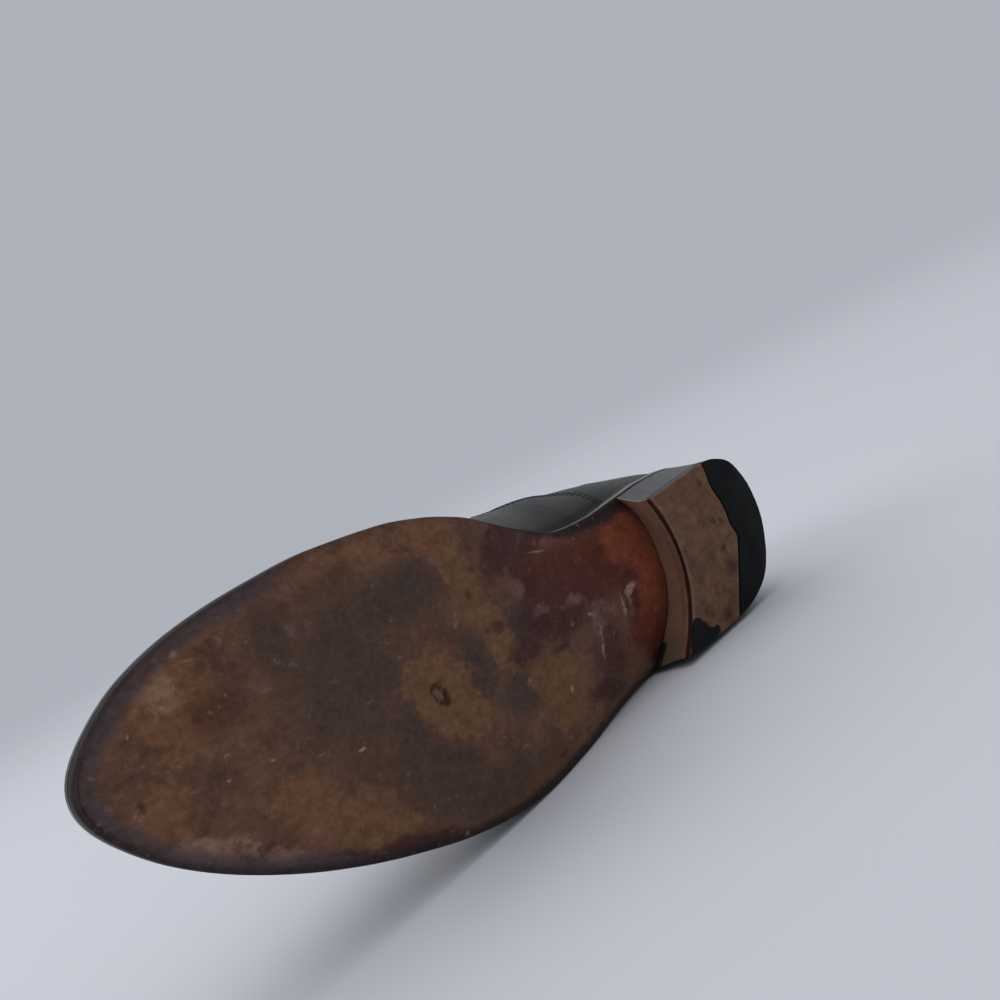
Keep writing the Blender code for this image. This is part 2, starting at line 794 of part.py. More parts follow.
def lay_on_side(pieces):
    """Hangs the pieces on an empty that lays the shoe on its outer side, toe towards -X."""
    points, centre = corners_of(pieces)
    up = -resting_normal(points, centre)
    toe = np.array([1.0, 0, 0]) - up * up[0]
    row_x = -toe / np.linalg.norm(toe)
    turned = np.array([row_x, np.cross(up, row_x), up])
    placed = points @ turned.T
    low, high = placed.min(axis=0), placed.max(axis=0)
    origin = np.array([(low[0] + high[0]) / 2, (low[1] + high[1]) / 2, low[2]])
    lying = Matrix(turned.tolist()).to_4x4()
    lying.translation = Vector(-origin)
    holder = bpy.data.objects.new("lying_shoe", None)
    PIECES.objects.link(holder)
    holder.matrix_world = lying
    for piece in pieces:
        piece.parent = holder


def main():
    for thing in list(bpy.data.objects):
        bpy.data.objects.remove(thing)
    bpy.context.scene.collection.children.link(PIECES)
    bpy.context.scene.collection.children.link(CUTTERS)
    pieces = [
        build_outsole(),
        build_welt(),
        build_insole(),
        build_heel_stack(),
        build_top_piece(),
        build_rubber_tip(),
        build_upper(),
        build_back_strip(),
        build_tongue(),
        build_laces(),
    ]
    lay_on_side(pieces)
    for cutter in CUTTERS.objects:
        cutter.parent = pieces[0].parent


main()
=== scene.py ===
import json
import math

import bpy
import numpy as np
from mathutils import Matrix, Vector


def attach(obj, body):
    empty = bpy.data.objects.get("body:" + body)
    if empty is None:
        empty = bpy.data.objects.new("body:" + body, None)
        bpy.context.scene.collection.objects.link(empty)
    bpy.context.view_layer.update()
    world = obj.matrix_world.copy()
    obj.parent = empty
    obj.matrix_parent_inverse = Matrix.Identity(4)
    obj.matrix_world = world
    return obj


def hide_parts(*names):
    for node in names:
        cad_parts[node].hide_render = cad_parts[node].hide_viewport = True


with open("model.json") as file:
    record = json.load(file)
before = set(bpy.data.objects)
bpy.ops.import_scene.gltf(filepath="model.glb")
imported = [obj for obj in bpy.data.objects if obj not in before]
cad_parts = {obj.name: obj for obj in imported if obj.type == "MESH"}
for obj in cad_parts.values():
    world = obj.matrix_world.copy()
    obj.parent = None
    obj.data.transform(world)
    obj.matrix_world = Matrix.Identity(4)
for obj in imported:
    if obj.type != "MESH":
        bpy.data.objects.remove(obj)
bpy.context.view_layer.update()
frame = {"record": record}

# Outsole
# One piece of oak-bark sole leather, cut to the outline of the last, stitched under the welt and
# trimmed. Its edge is inked black, its waist is burnished red brown, and the tread is worn through
# to paler layers, with a hole under the ball of the foot.

MM = 0.001

# The shoe is worked out standing (x to the toe, y to the inner side, z up) and laid on its side
# by the two mounts under its heel and forefoot.
marks = {mount["name"]: mount for mount in frame["record"]["mounts"]}
HEEL_MARK_STATION = 45 * MM
heel_mark = Vector(marks["heel_tread"]["pos_m"])
toe_way = (Vector(marks["forefoot_tread"]["pos_m"]) - heel_mark).normalized()
inner_way = (-Vector(marks["heel_tread"]["axis"])).cross(toe_way).normalized()
LYING = Matrix((toe_way, inner_way, toe_way.cross(inner_way))).transposed().to_4x4()
LYING.translation = heel_mark - toe_way * HEEL_MARK_STATION

SOLE_LENGTH = 303 * MM
SOLE_THICKNESS = 5.0 * MM
EDGE_ROUNDING = 14.0 * MM
SOLE_ROWS = 360
SOLE_COLUMNS = 120

OUTLINE = np.array([
    # station, inner, outer, edge margin
    (0, 4.0, 4.0, 2.0),
    (5, 24.4, -15.0, 2.0),
    (13, 33.2, -25.0, 2.0),
    (28, 37.5, -32.5, 1.8),
    (48, 35.8, -37.0, 1.6),
    (68, 32.0, -39.5, 1.2),
    (88, 28.5, -42.8, 1.2),
    (108, 27.4, -46.8, 1.6),
    (133, 33.1, -52.0, 2.6),
    (163, 43.9, -56.4, 3.6),
    (178, 47.0, -57.2, 3.9),
    (193, 48.4, -56.2, 4.2),
    (218, 47.4, -51.6, 4.4),
    (243, 43.2, -44.5, 4.6),
    (265, 37.1, -35.6, 4.6),
    (283, 28.3, -25.3, 4.6),
    (296, 16.5, -13.5, 4.6),
    (303, 1.2, 1.2, 4.6),
]) * MM

PROFILE = np.array([
    # station, underside, edge lift, waist swell
    (0, 24.0, 0.0, 0.0),
    (36, 22.2, 0.0, 0.0),
    (46, 21.7, 0.0, 2.5),
    (58, 21.1, 0.0, 8.0),
    (72, 20.4, 0.0, 8.4),
    (90, 17.0, 1.0, 7.0),
    (110, 12.0, 1.4, 4.4),
    (135, 5.6, 1.2, 1.8),
    (163, 1.0, 0.8, 0.4),
    (188, 0.0, 0.6, 0.0),
    (228, 0.0, 0.6, 0.0),
    (246, 0.8, 0.6, 0.0),
    (268, 3.0, 0.6, 0.0),
    (285, 5.8, 0.6, 0.0),
    (303, 10.0, 0.6, 0.0),
]) * MM

# Rim of the sole in section, from the tread round the edge to the top: how far in from the
# outline, and how high between tread, 0, and top, 1.
SOLE_RIM = np.array([
    # inset, height share
    (1.3, 0.0),
    (0.7, 0.02),
    (0.3, 0.08),
    (0.08, 0.2),
    (0.0, 0.4),
    (0.0, 0.75),
    (0.1, 0.93),
    (0.35, 1.0),
])


def through(xs, ys):
    """A smooth curve through the points that never overshoots them (monotone cubic)."""
    xs, ys = np.asarray(xs, float), np.asarray(ys, float)
    step = np.diff(xs)
    rise = np.diff(ys) / step
    slope = np.zeros(len(xs))
    same_way = rise[:-1] * rise[1:] > 0
    before, after = 2 * step[1:] + step[:-1], step[1:] + 2 * step[:-1]
    with np.errstate(divide="ignore", invalid="ignore"):
        mean = (before + after) / (before / rise[:-1] + after / rise[1:])
    slope[1:-1] = np.where(same_way, mean, 0)
    slope[0], slope[-1] = rise[0], rise[-1]

    def value(x):
        x = np.clip(x, xs[0], xs[-1])
        i = np.clip(np.searchsorted(xs, x) - 1, 0, len(step) - 1)
        t = (x - xs[i]) / step[i]
        bend = (slope[i] * step[i] * (1 - t) - slope[i + 1] * step[i] * t) * t * (1 - t)
        smooth = t * t * (3 - 2 * t)
        return ys[i] + (ys[i + 1] - ys[i]) * smooth + bend

    return value


def curves(xs, table):
    """A smooth curve for each column of a table after its first."""
    return [through(xs, column) for column in table.T[1:]]


def turn_of(station):
    """A station as an angle round the outline, which opens up the two round ends."""
    return np.arccos(np.clip(1 - 2 * np.asarray(station) / SOLE_LENGTH, -1, 1))


def station_of(turn):
    return SOLE_LENGTH / 2 * (1 - np.cos(turn))


inner_edge, outer_edge, edge_margin = curves(turn_of(OUTLINE[:, 0]), OUTLINE)
underside, edge_lift, waist_swell = curves(PROFILE[:, 0], PROFILE)


def signed(angle):
    """An angle round the shoe between -pi and pi: 0 at the heel, positive along the inner side."""
    return (np.asarray(angle) + math.pi) % (2 * math.pi) - math.pi


def edge_at(angle):
    """Points of the sole's outline in plan."""
    angle = signed(angle)
    turn = abs(angle)
    side = np.where(angle >= 0, inner_edge(turn), outer_edge(turn))
    return np.stack([station_of(turn), side], axis=-1)


def unit(vectors):
    return vectors / np.linalg.norm(vectors, axis=-1, keepdims=True)


def edge_point(angle, inset):
    """Points of the sole's outline in plan, moved in from the edge."""
    step = 1e-3
    along = unit(edge_at(angle + step) - edge_at(angle - step))
    inward = np.stack([along[..., 1], -along[..., 0]], axis=-1)
    return edge_at(angle) + inward * np.asarray(inset)[..., None]


def sole_bottom(x, across, half_width):
    """Height of the sole's underside; across is 1 at the inner edge and -1 at the outer one."""
    near_edge = np.clip(1 - (1 - abs(across)) * half_width / EDGE_ROUNDING, 0, 1)
    return underside(x) + edge_lift(x) * near_edge**2 - waist_swell(x) * (1 - across**2)


def ease(value, start, end):
    """0 before start, 1 after end, smooth between."""
    share = np.clip((value - start) / (end - start), 0, 1)
    return share * share * (3 - 2 * share)


CLOUD_CELLS = 32
CLOUD_SEED = 11
OCTAVE_SHIFT = 7.3
cloud_values = np.random.default_rng(CLOUD_SEED).random((CLOUD_CELLS,) * 3)


def clouds(points, size, octaves=3):
    """Soft random mottle from 0 to 1, in patches of about the given size."""
    total, weight_sum = 0.0, 0.0
    for octave in range(octaves):
        place = points / size * 2**octave + OCTAVE_SHIFT * octave
        cell = np.floor(place).astype(int)
        t = place - cell
        t = t * t * (3 - 2 * t)
        value = 0.0
        for corner in np.ndindex(2, 2, 2):
            share = np.prod(np.where(np.array(corner) == 1, t, 1 - t), axis=-1)
            i = (cell + corner) % CLOUD_CELLS
            value = value + cloud_values[i[..., 0], i[..., 1], i[..., 2]] * share
        total = total + value * 0.5**octave
        weight_sum += 0.5**octave
    return total / weight_sum


MERGE_DISTANCE = 2e-6
SLIVER = 1e-7


def loft(name, points, round_rows=False, round_columns=False, outward=None):
    """A grid with its vertices moved to rows of points in the standing shoe's frame.

    Rounds are closed and coinciding points merged. An open sheet is turned to face outward."""
    if round_rows:
        points = np.concatenate([points, points[:1]])
    if round_columns:
        points = np.concatenate([points, points[:, :1]], axis=1)
    rows, columns = points.shape[:2]
    bpy.ops.object.select_all(action="DESELECT")
    bpy.ops.mesh.primitive_grid_add(x_subdivisions=columns - 1, y_subdivisions=rows - 1)
    piece = bpy.context.object
    piece.name = name
    piece.data.name = name
    piece.data.vertices.foreach_set("co", points.astype(np.float32).ravel())
    piece.data.update()
    bpy.ops.object.mode_set(mode="EDIT")
    bpy.ops.mesh.select_all(action="SELECT")
    bpy.ops.mesh.remove_doubles(threshold=MERGE_DISTANCE)
    bpy.ops.mesh.dissolve_degenerate(threshold=SLIVER)
    if outward is None:
        bpy.ops.mesh.normals_make_consistent(inside=False)
    elif np.dot(np.cross(points[0, 1] - points[0, 0], points[1, 0] - points[0, 0]), outward) < 0:
        bpy.ops.mesh.flip_normals()
    bpy.ops.object.mode_set(mode="OBJECT")
    return piece


def corners(piece):
    """The piece's vertices as an array."""
    values = np.empty(len(piece.data.vertices) * 3, np.float32)
    piece.data.vertices.foreach_get("co", values)
    return values.reshape(-1, 3).astype(float)


def mark(piece, name, values, kind="FLOAT"):
    """Stores a value for each vertex, which the piece's material reads by name."""
    attribute = piece.data.attributes.new(name, kind, "POINT")
    field = "vector" if kind == "FLOAT_VECTOR" else "value"
    attribute.data.foreach_set(field, np.asarray(values, np.float32).ravel())


def pick(piece):
    """Selects one piece alone, for the operators that follow."""
    bpy.ops.object.select_all(action="DESELECT")
    piece.select_set(True)
    bpy.context.view_layer.objects.active = piece


def lay_down(piece, material, smooth_angle=40):
    """Keeps each vertex's place in the standing shoe for the material, and lays the piece down."""
    mark(piece, "shoe", corners(piece), "FLOAT_VECTOR")
    piece.data.transform(LYING)
    piece.data.update()
    piece.data.materials.clear()
    piece.data.materials.append(material)
    piece.data.polygons.foreach_set("material_index", np.zeros(len(piece.data.polygons), np.int32))
    pick(piece)
    bpy.ops.object.shade_smooth_by_angle(angle=math.radians(smooth_angle))


OUTLINE_SPOTS = 500


def from_edge(x, y):
    """Distance in plan from the sole's outline."""
    outline = edge_at(np.linspace(-math.pi, math.pi, OUTLINE_SPOTS))
    nearest = np.full(x.shape, np.inf)
    for px, py in outline:
        nearest = np.minimum(nearest, (x - px) ** 2 + (y - py) ** 2)
    return np.sqrt(nearest)


def covered(x, y, rows, softness=1.0):
    """How far a point is inside the given oval marks: 0.5 on their edges, 1 well inside."""
    total = np.zeros(x.shape)
    for centre_x, centre_y, length, width, angle, strength in rows:
        c, s = math.cos(math.radians(angle)), math.sin(math.radians(angle))
        dx, dy = x / MM - centre_x, y / MM - centre_y
        reach = np.hypot((dx * c + dy * s) / length, (dy * c - dx * s) / width)
        total = np.maximum(total, strength * np.clip(0.5 + (1 - reach) / softness, 0, 1))
    return total


# Marks on the tread, in millimetres from the heel and from the middle of the shoe.
# Each row: x, y, half length, half width, angle, strength
TREAD_MARKS = {
    "ochre": [
        (273, 18, 13, 16, 0, 0.9), (264, 34, 17, 5, -25, 1.0), (205, 41, 38, 5, -3, 0.6),
        (246, -22, 11, 9, 30, 0.9), (177, 38, 11, 8, 20, 0.9), (284, -10, 8, 12, 0, 0.8),
        (228, -34, 22, 8, 14, 0.7),
    ],
    "rosy": [
        (277, -25, 10, 3.4, 30, 1.0), (256, -35, 10, 3, 27, 0.95), (266, -27, 6, 4, 30, 0.6),
        (276, 22, 7, 7, 0, 0.6),
    ],
    "grimy": [
        (222, 6, 21, 27, 0, 0.75), (196, 24, 22, 10, 0, 0.95), (200, -38, 18, 10, 14, 0.7),
        (175, -6, 6, 13, -10, 1.0), (160, -21, 10, 7, 10, 0.95), (240, 24, 10, 12, 0, 0.7),
        (180, -45, 30, 7, -3, 0.65), (149, 3, 9, 10, 0, 0.8), (124, -3, 14, 10, 0, 0.6),
        (208, -20, 7, 14, 15, 0.9), (194, -31, 13, 5, 25, 0.9),
    ],
    "worn": [
        (190.5, -9.5, 17, 12, 48, 1.0), (179, -21, 9, 6, 30, 1.0), (168, 18, 20, 7, 64, 1.0),
        (161, -3, 12, 7, 80, 0.9), (140, -21, 15, 7, 0, 1.0), (138, -32, 15, 9, 0, 1.0),
        (226, -41, 18, 4, 12, 0.8),
    ],
    "plum": [
        (146, 30, 16, 8, -35, 1.0), (140, 15, 8, 9, 0, 0.9), (106, -24, 16, 15, 0, 0.6),
        (96, 25, 22, 3, 4, 0.8), (240, -42.5, 15, 3, 22, 0.9),
        (84, 25, 10, 5, 0, 0.8), (214, -49, 16, 3, 9, 0.9), (128, 0, 24, 11, 0, 0.9),
        (130, 27, 18, 4, -20, 1.0), (150, -8, 9, 7, 0, 0.7), (112, -36, 14, 5, 8, 0.8),
    ],
    "burnished": [
        (112, 14, 34, 9, 4, 1.0), (92, 11, 26, 13, 2, 1.0), (76, 0, 15, 28, 0, 1.0),
        (76, -20, 16, 14, 0, 0.7), (106, 8, 30, 13, 3, 1.0),
    ],
    # amber: lighter orange on the burnished waist near the breast, a painted highlight of its gloss
    "amber_highlight": [
        (69, 4, 9, 26, 8, 0.95), (104, 18, 26, 3.6, 3, 0.3), (78, 15, 10, 9, 0, 1.0),
        (78, -18, 9, 10, 0, 0.5),
    ],
    "smears": [
        (118, 0.5, 8, 2.4, 3, 0.9), (147, 13, 4, 3.2, 30, 0.8), (136, 3, 4, 3, 0, 0.75),
        (234, 26, 1.6, 2.2, 0, 0.8), (229, 25, 1.2, 1.6, 0, 0.7), (110, -14, 3.4, 9, 12, 0.85),
        (180, 32, 2.4, 1.4, 0, 0.7), (104, -5, 9, 3, 10, 0.6), (88, -9, 4, 5, 8, 0.6),
    ],
    # dark: dirt spots; the row at (72, -35) is painted shade in the notch where the sole's outer edge meets
    # the heel breast
    "dark": [
        (160, 3, 2.7, 2.3, 0, 0.9), (165.5, 3, 1.5, 1.2, 0, 0.8), (168, 17, 1.6, 2.0, 0, 0.8),
        (263, 11, 9, 7, 0, 0.6), (288.5, -6, 1, 2.4, 0, 0.8), (190, 38.6, 6, 1.0, 13, 0.5),
        (133, -13, 6, 1.2, -4, 0.8), (130.5, -44.5, 1.8, 1.2, 0, 0.8), (148, -47.5, 2.6, 1.1, 0, 0.8),
        (112, -39.5, 2.4, 1.2, 0, 0.8), (160, -9, 2.4, 1.4, 0, 0.7), (72, -35, 4, 3, 20, 1.0),
        (88.5, -10, 1, 5, 8, 0.9), (64, 27, 5, 2.4, 10, 0.9), (156, 18, 2, 1.6, 40, 0.6),
        (183, 8, 4, 1.2, 20, 0.5),
    ],
    "pale": [
        (84, -4, 4.6, 1.7, -25, 0.9), (91, -9, 1.1, 6, 8, 0.65), (111.5, -6.5, 2.6, 0.9, 20, 0.8),
        (109.5, -18, 1.0, 6.5, 12, 0.85), (130, 23, 6.5, 0.4, 6, 0.9), (107, 6.5, 0.6, 0.9, 0, 0.7),
        (133, -28, 1.3, 0.9, 0, 0.75), (225, -15.6, 1, 0.6, 0, 0.95), (86, -7, 2.4, 1.0, 60, 0.8),
        (251.5, -7.4, 0.8, 0.6, 0, 0.95), (263.5, -1.2, 0.6, 0.5, 0, 0.85), (276, 17.5, 1.0, 0.6, 60, 0.85),
        (286, 13, 0.5, 1.4, 20, 0.8), (264.5, -8.2, 0.5, 0.5, 0, 0.8), (259, 14, 0.5, 0.4, 0, 0.7),
        (269, 30, 1.4, 1.2, 30, 0.6), (266, 27, 1.2, 0.9, 10, 0.6), (271, 21, 0.8, 0.8, 0, 0.6),
    ],
}
HOLE = (191, -10, 4.8, 2.5, 60, 1.0)

# How far the black edge ink has run over the tread
INK_RUN = np.array([
    # station, inner, outer
    (0, 1.0, 1.0),
    (60, 4.5, 2.0),
    (75, 6.5, 2.0),
    (90, 4.5, 2.5),
    (110, 2.8, 3.0),
    (130, 1.5, 3.5),
    (150, 0.3, 3.5),
    (190, 0.0, 3.0),
    (222, 0.3, 2.5),
    (250, 0.8, 2.0),
    (270, 0.8, 1.8),
    (290, 0.8, 1.5),
    (303, 0.8, 1.5),
]) * MM
inner_ink, outer_ink = curves(INK_RUN[:, 0], INK_RUN)

sole_turns = np.linspace(0, math.pi, SOLE_ROWS)
rim_inset, rim_share = SOLE_RIM[:, 0] * MM, SOLE_RIM[:, 1]
tread_from = edge_point(sole_turns, rim_inset[0])
tread_to = edge_point(-sole_turns, rim_inset[0])
half_width = np.linalg.norm(tread_from - tread_to, axis=-1)[:, None] / 2
# The columns lie closer together towards both edges
CLOSER_SHARE = 0.35
across = np.sin(np.linspace(math.pi / 2, -math.pi / 2, SOLE_COLUMNS))[None, :]
across = CLOSER_SHARE * across + (1 - CLOSER_SHARE) * np.linspace(1, -1, SOLE_COLUMNS)[None, :]
tread = tread_to[:, None] + (tread_from - tread_to)[:, None] * (across[..., None] + 1) / 2
tread_x, tread_y = tread[..., 0], tread[..., 1]

# Wear is pressed into the tread: shallow where the grain has gone, deep at the hole.
DRIFT_PATCH, DRIFT_REACH = 11 * MM, 7 * MM
WORN_DEPTH = 0.35 * MM
HOLE_DEPTH, HOLE_DISH = 1.7 * MM, 0.5 * MM
DENT_SIZE, DENT_DEPTH = 16 * MM, 0.5 * MM
PIT_SIZE, PIT_DEPTH = 2.5 * MM, 0.12 * MM
RIM_FADE = 0.06


def raised(plan, height):
    """Points in plan, raised to their heights."""
    return np.concatenate([plan, height[..., None]], axis=-1)


def drift(x, y):
    """How far the ragged edge of a mark wanders at points in plan, along and across the shoe."""
    flat = np.stack([x, y, 0 * x], axis=-1)
    return [(clouds(flat + shift, DRIFT_PATCH) - 0.5) * DRIFT_REACH for shift in (0, 0.5)]


def from_hole(x, y):
    """0 in the middle of the hole, 0.5 on its edge, 1 well outside."""
    return 1 - covered(x, y, [HOLE], softness=2.0)


drift_x, drift_y = drift(tread_x, tread_y)
worn_off = covered(tread_x + drift_x, tread_y + drift_y, TREAD_MARKS["worn"])
wear = WORN_DEPTH * ease(worn_off, 0.3, 0.7)
hole_place = from_hole(tread_x, tread_y)
wear = wear + HOLE_DEPTH * (1 - ease(hole_place, 0.36, 0.54))
wear = wear + HOLE_DISH * np.exp(-((hole_place / 0.9) ** 2))
flat_tread = raised(tread, 0 * tread_x)
wear = wear + DENT_DEPTH * clouds(flat_tread, DENT_SIZE) + PIT_DEPTH * clouds(flat_tread, PIT_SIZE, 2)
inside_rim = ease(1 - abs(across), 0, RIM_FADE)
tread = raised(tread, sole_bottom(tread_x, across, half_width) + wear * inside_rim)


def rim_line(side):
    """Rows of the sole's rounded edge on one side, from the tread to the top."""
    plan = edge_point(side * sole_turns[:, None], rim_inset)
    x = plan[..., 0]
    low, high = sole_bottom(x, 1.0, 1.0), underside(x) + SOLE_THICKNESS
    return raised(plan, low + (high - low) * rim_share)


inner_rim, outer_rim = rim_line(1), rim_line(-1)
sole_section = np.concatenate([tread, outer_rim[:, 1:], inner_rim[:, :0:-1]], axis=1)
outsole_piece = loft("outsole_leather", sole_section, round_columns=True)

# The fine marks wander less at their edges than the others
FINE_MARKS = ("pale", "dark")
FINE_DRIFT = 0.3
INK_FADE = 5 * MM
EDGE_DEPTH, EDGE_FROM = 1.0 * MM, 0.5 * MM
WAIST_ENDS, BALL_STARTS = 110 * MM, 130 * MM
TOE_RIM_WIDTH, TOE_RIM_FADE = 5.5 * MM, 6 * MM
TOE_RIM_FROM, TOE_RIM_FULL = 222 * MM, 246 * MM

sole_x, sole_y, sole_z = corners(outsole_piece).T
drift_x, drift_y = drift(sole_x, sole_y)
for mark_name, rows in TREAD_MARKS.items():
    share = FINE_DRIFT if mark_name in FINE_MARKS else 1.0
    mark(outsole_piece, mark_name, covered(sole_x + share * drift_x, sole_y + share * drift_y, rows))
edge_distance = from_edge(sole_x, sole_y)
ink_width = np.where(sole_y > 0, inner_ink(sole_x), outer_ink(sole_x))
ink = np.clip(0.5 + (ink_width - edge_distance) / INK_FADE, 0, 1)
on_edge = (edge_distance < EDGE_DEPTH) & (sole_z > sole_bottom(sole_x, 1.0, 1.0) + EDGE_FROM)
mark(outsole_piece, "ink", np.where(on_edge, 1, ink))
# Along the waist and the heel the edge is polished, and painted the satin grey of the heel's side: a
# painted highlight of the light from above
mark(outsole_piece, "edge", on_edge * (1 - ease(sole_x, WAIST_ENDS, BALL_STARTS)))
# Round the toe the edge is rubbed to a violet grey
toe_rim = np.clip(0.5 + (TOE_RIM_WIDTH - edge_distance) / TOE_RIM_FADE, 0, 1)
mark(outsole_piece, "rim", toe_rim * ease(sole_x, TOE_RIM_FROM, TOE_RIM_FULL))
hole_place = from_hole(sole_x, sole_y)
mark(outsole_piece, "hole_rim", 1 - ease(abs(hole_place - 0.4), 0.05, 0.17))
mark(outsole_piece, "hole_core", 1 - ease(hole_place, 0.12, 0.3))


def colour(hex_code):
    """A linear colour from an sRGB hex code."""
    values = [int(hex_code[i : i + 2], 16) / 255 for i in (1, 3, 5)]
    linear = [v / 12.92 if v <= 0.04045 else ((v + 0.055) / 1.055) ** 2.4 for v in values]
    return (*linear, 1.0)


def feed(material, target, inputs):
    """Gives a node its inputs: each is a value, or a socket to link to."""
    for name, value in inputs.items():
        if isinstance(value, bpy.types.NodeSocket):
            material.node_tree.links.new(value, target.inputs[name])
        else:
            target.inputs[name].default_value = value


def node(material, kind, inputs=None, out=0, **settings):
    """Adds a node with its settings and links, and gives one of its outputs."""
    made = material.node_tree.nodes.new(kind)
    for name, value in settings.items():
        setattr(made, name, value)
    feed(material, made, inputs or {})
    return made.outputs[out]


def new_material(name):
    material = bpy.data.materials.new(name)
    material.use_nodes = True
    return material


def surface(material, inputs):
    """Gives the material's shader its colour, roughness, relief and gloss."""
    feed(material, material.node_tree.nodes["Principled BSDF"], inputs)


def stained(material, tone, rough, fibre, tones):
    """Lays the marks of a piece over its tone and roughness, their edges broken up by the fibre."""
    for mark_name, (hex_code, roughness, ragged, blur, most) in tones.items():
        amount = node(material, "ShaderNodeAttribute", attribute_name=mark_name, out="Fac")
        broken = node(material, "ShaderNodeMath", {0: fibre, 1: ragged, 2: amount},
                      operation="MULTIPLY_ADD")
        edge = 0.5 + ragged * 0.5
        mask = node(material, "ShaderNodeMapRange",
                    {"Value": broken, "From Min": edge - blur, "From Max": edge + blur, "To Max": most},
                    interpolation_type="SMOOTHSTEP")
        tone = node(material, "ShaderNodeMix", {0: mask, 6: tone, 7: colour(hex_code)},
                    data_type="RGBA", out=2)
        rough = node(material, "ShaderNodeMix", {0: mask, 2: rough, 3: roughness}, data_type="FLOAT")
    return tone, rough


# Most of a noise's values lie in this span
NOISE_SPAN = {"From Min": 0.3, "From Max": 0.7}

# Sole leather: dense and half matt, with a fibrous ragged break where the dark grain has worn off.
sole_leather = new_material("worn oak-bark sole leather")
place = node(sole_leather, "ShaderNodeAttribute", attribute_name="shoe", out="Vector")
# Mottle in patches of 14 mm, fibre breaks of 5 mm, and scuffs of 1.8 mm drawn out along the shoe
mottle = node(sole_leather, "ShaderNodeTexNoise",
              {"Vector": place, "Scale": 1 / (14 * MM), "Detail": 6, "Roughness": 0.6})
fibre = node(sole_leather, "ShaderNodeTexNoise",
             {"Vector": place, "Scale": 1 / (5 * MM), "Detail": 8, "Roughness": 0.74})
drawn = node(sole_leather, "ShaderNodeMapping", {"Vector": place, "Scale": (0.3, 1, 1)})
scuffs = node(sole_leather, "ShaderNodeTexNoise",
              {"Vector": drawn, "Scale": 1 / (1.8 * MM), "Detail": 6, "Roughness": 0.7})
mottled = node(sole_leather, "ShaderNodeMapRange", {"Value": mottle, **NOISE_SPAN})
tone = node(sole_leather, "ShaderNodeMix",
            {0: mottled, 6: colour("#5e4437"), 7: colour("#7b5946")}, data_type="RGBA", out=2)
rough = node(sole_leather, "ShaderNodeMapRange",
             {"Value": mottle, **NOISE_SPAN, "To Min": 0.46, "To Max": 0.62})
SOLE_TONES = {
    # mark: colour, roughness, how ragged its edge is, how soft its edge is, how much it covers
    "ochre": ("#825b41", 0.55, 1.6, 0.28, 0.85),
    "rosy": ("#9d7c66", 0.6, 2.4, 0.4, 0.85),
    "grimy": ("#4f423c", 0.6, 2.2, 0.55, 0.85),
    "worn": ("#7a5a41", 0.68, 1.5, 0.14, 0.92),
    "plum": ("#4a2e2d", 0.5, 1.6, 0.24, 0.88),
    "burnished": ("#56281f", 0.32, 1.3, 0.32, 0.95),
    # amber: a painted highlight on the burnished waist
    "amber_highlight": ("#8a4a35", 0.28, 1.2, 0.5, 0.8),
    "smears": ("#785b55", 0.6, 2.2, 0.3, 0.7),
    "dark": ("#3e251b", 0.6, 2.4, 0.4, 0.65),
    "rim": ("#52464a", 0.5, 1.6, 0.4, 0.85),
    "ink": ("#2a2325", 0.42, 1.2, 0.35, 0.92),
    # edge: a painted highlight, lighter grey along the polished edge of the waist and heel
    "edge": ("#4f4a4c", 0.35, 0.3, 0.25, 0.9),
    "pale": ("#ad8b77", 0.7, 2.6, 0.28, 0.7),
    "hole_rim": ("#402a21", 0.75, 0.8, 0.3, 0.7),
    "hole_core": ("#7d6b66", 0.8, 0.6, 0.25, 0.85),
}
tone, rough = stained(sole_leather, tone, rough, fibre, SOLE_TONES)
streaks = node(sole_leather, "ShaderNodeMapRange",
               {"Value": scuffs, **NOISE_SPAN, "To Min": 0.9, "To Max": 1.1})
blotches = node(sole_leather, "ShaderNodeMapRange",
                {"Value": fibre, **NOISE_SPAN, "To Min": 0.79, "To Max": 1.33})
specks = node(sole_leather, "ShaderNodeTexNoise",
              {"Vector": place, "Scale": 1 / (2.2 * MM), "Detail": 5, "Roughness": 0.7})
speckled = node(sole_leather, "ShaderNodeMapRange",
                {"Value": specks, **NOISE_SPAN, "To Min": 0.8, "To Max": 1.2})
shade = node(sole_leather, "ShaderNodeMath", {0: streaks, 1: blotches}, operation="MULTIPLY")
shade = node(sole_leather, "ShaderNodeMath", {0: shade, 1: speckled}, operation="MULTIPLY")
tone = node(sole_leather, "ShaderNodeVectorMath", {0: tone, 1: shade}, operation="MULTIPLY")
relief = node(sole_leather, "ShaderNodeMath", {0: scuffs, 1: fibre}, operation="ADD")
bump = node(sole_leather, "ShaderNodeBump", {"Height": relief, "Strength": 0.5, "Distance": 0.4 * MM})
# The burnished waist keeps its wax, and the inked edge its polish
waxed = node(sole_leather, "ShaderNodeAttribute", attribute_name="burnished", out="Fac")
wax = node(sole_leather, "ShaderNodeMapRange",
           {"Value": waxed, "From Min": 0.3, "From Max": 0.9, "To Max": 0.06})
polished = node(sole_leather, "ShaderNodeAttribute", attribute_name="edge", out="Fac")
wax = node(sole_leather, "ShaderNodeMath", {0: wax, 1: polished}, operation="MAXIMUM")
surface(sole_leather, {
    "Base Color": tone, "Roughness": rough, "Normal": bump, "Specular IOR Level": 0.09,
    "Coat Weight": wax, "Coat Roughness": 0.25,
})

lay_down(outsole_piece, sole_leather)
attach(outsole_piece, "root")
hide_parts("outsole")

# Welt
# A strip of veg-tanned leather sewn round the feather of the upper, inked black with the edge.
# It is full round the forefoot, crimped by a wheel between its stitches, and a thin rand at the heel.

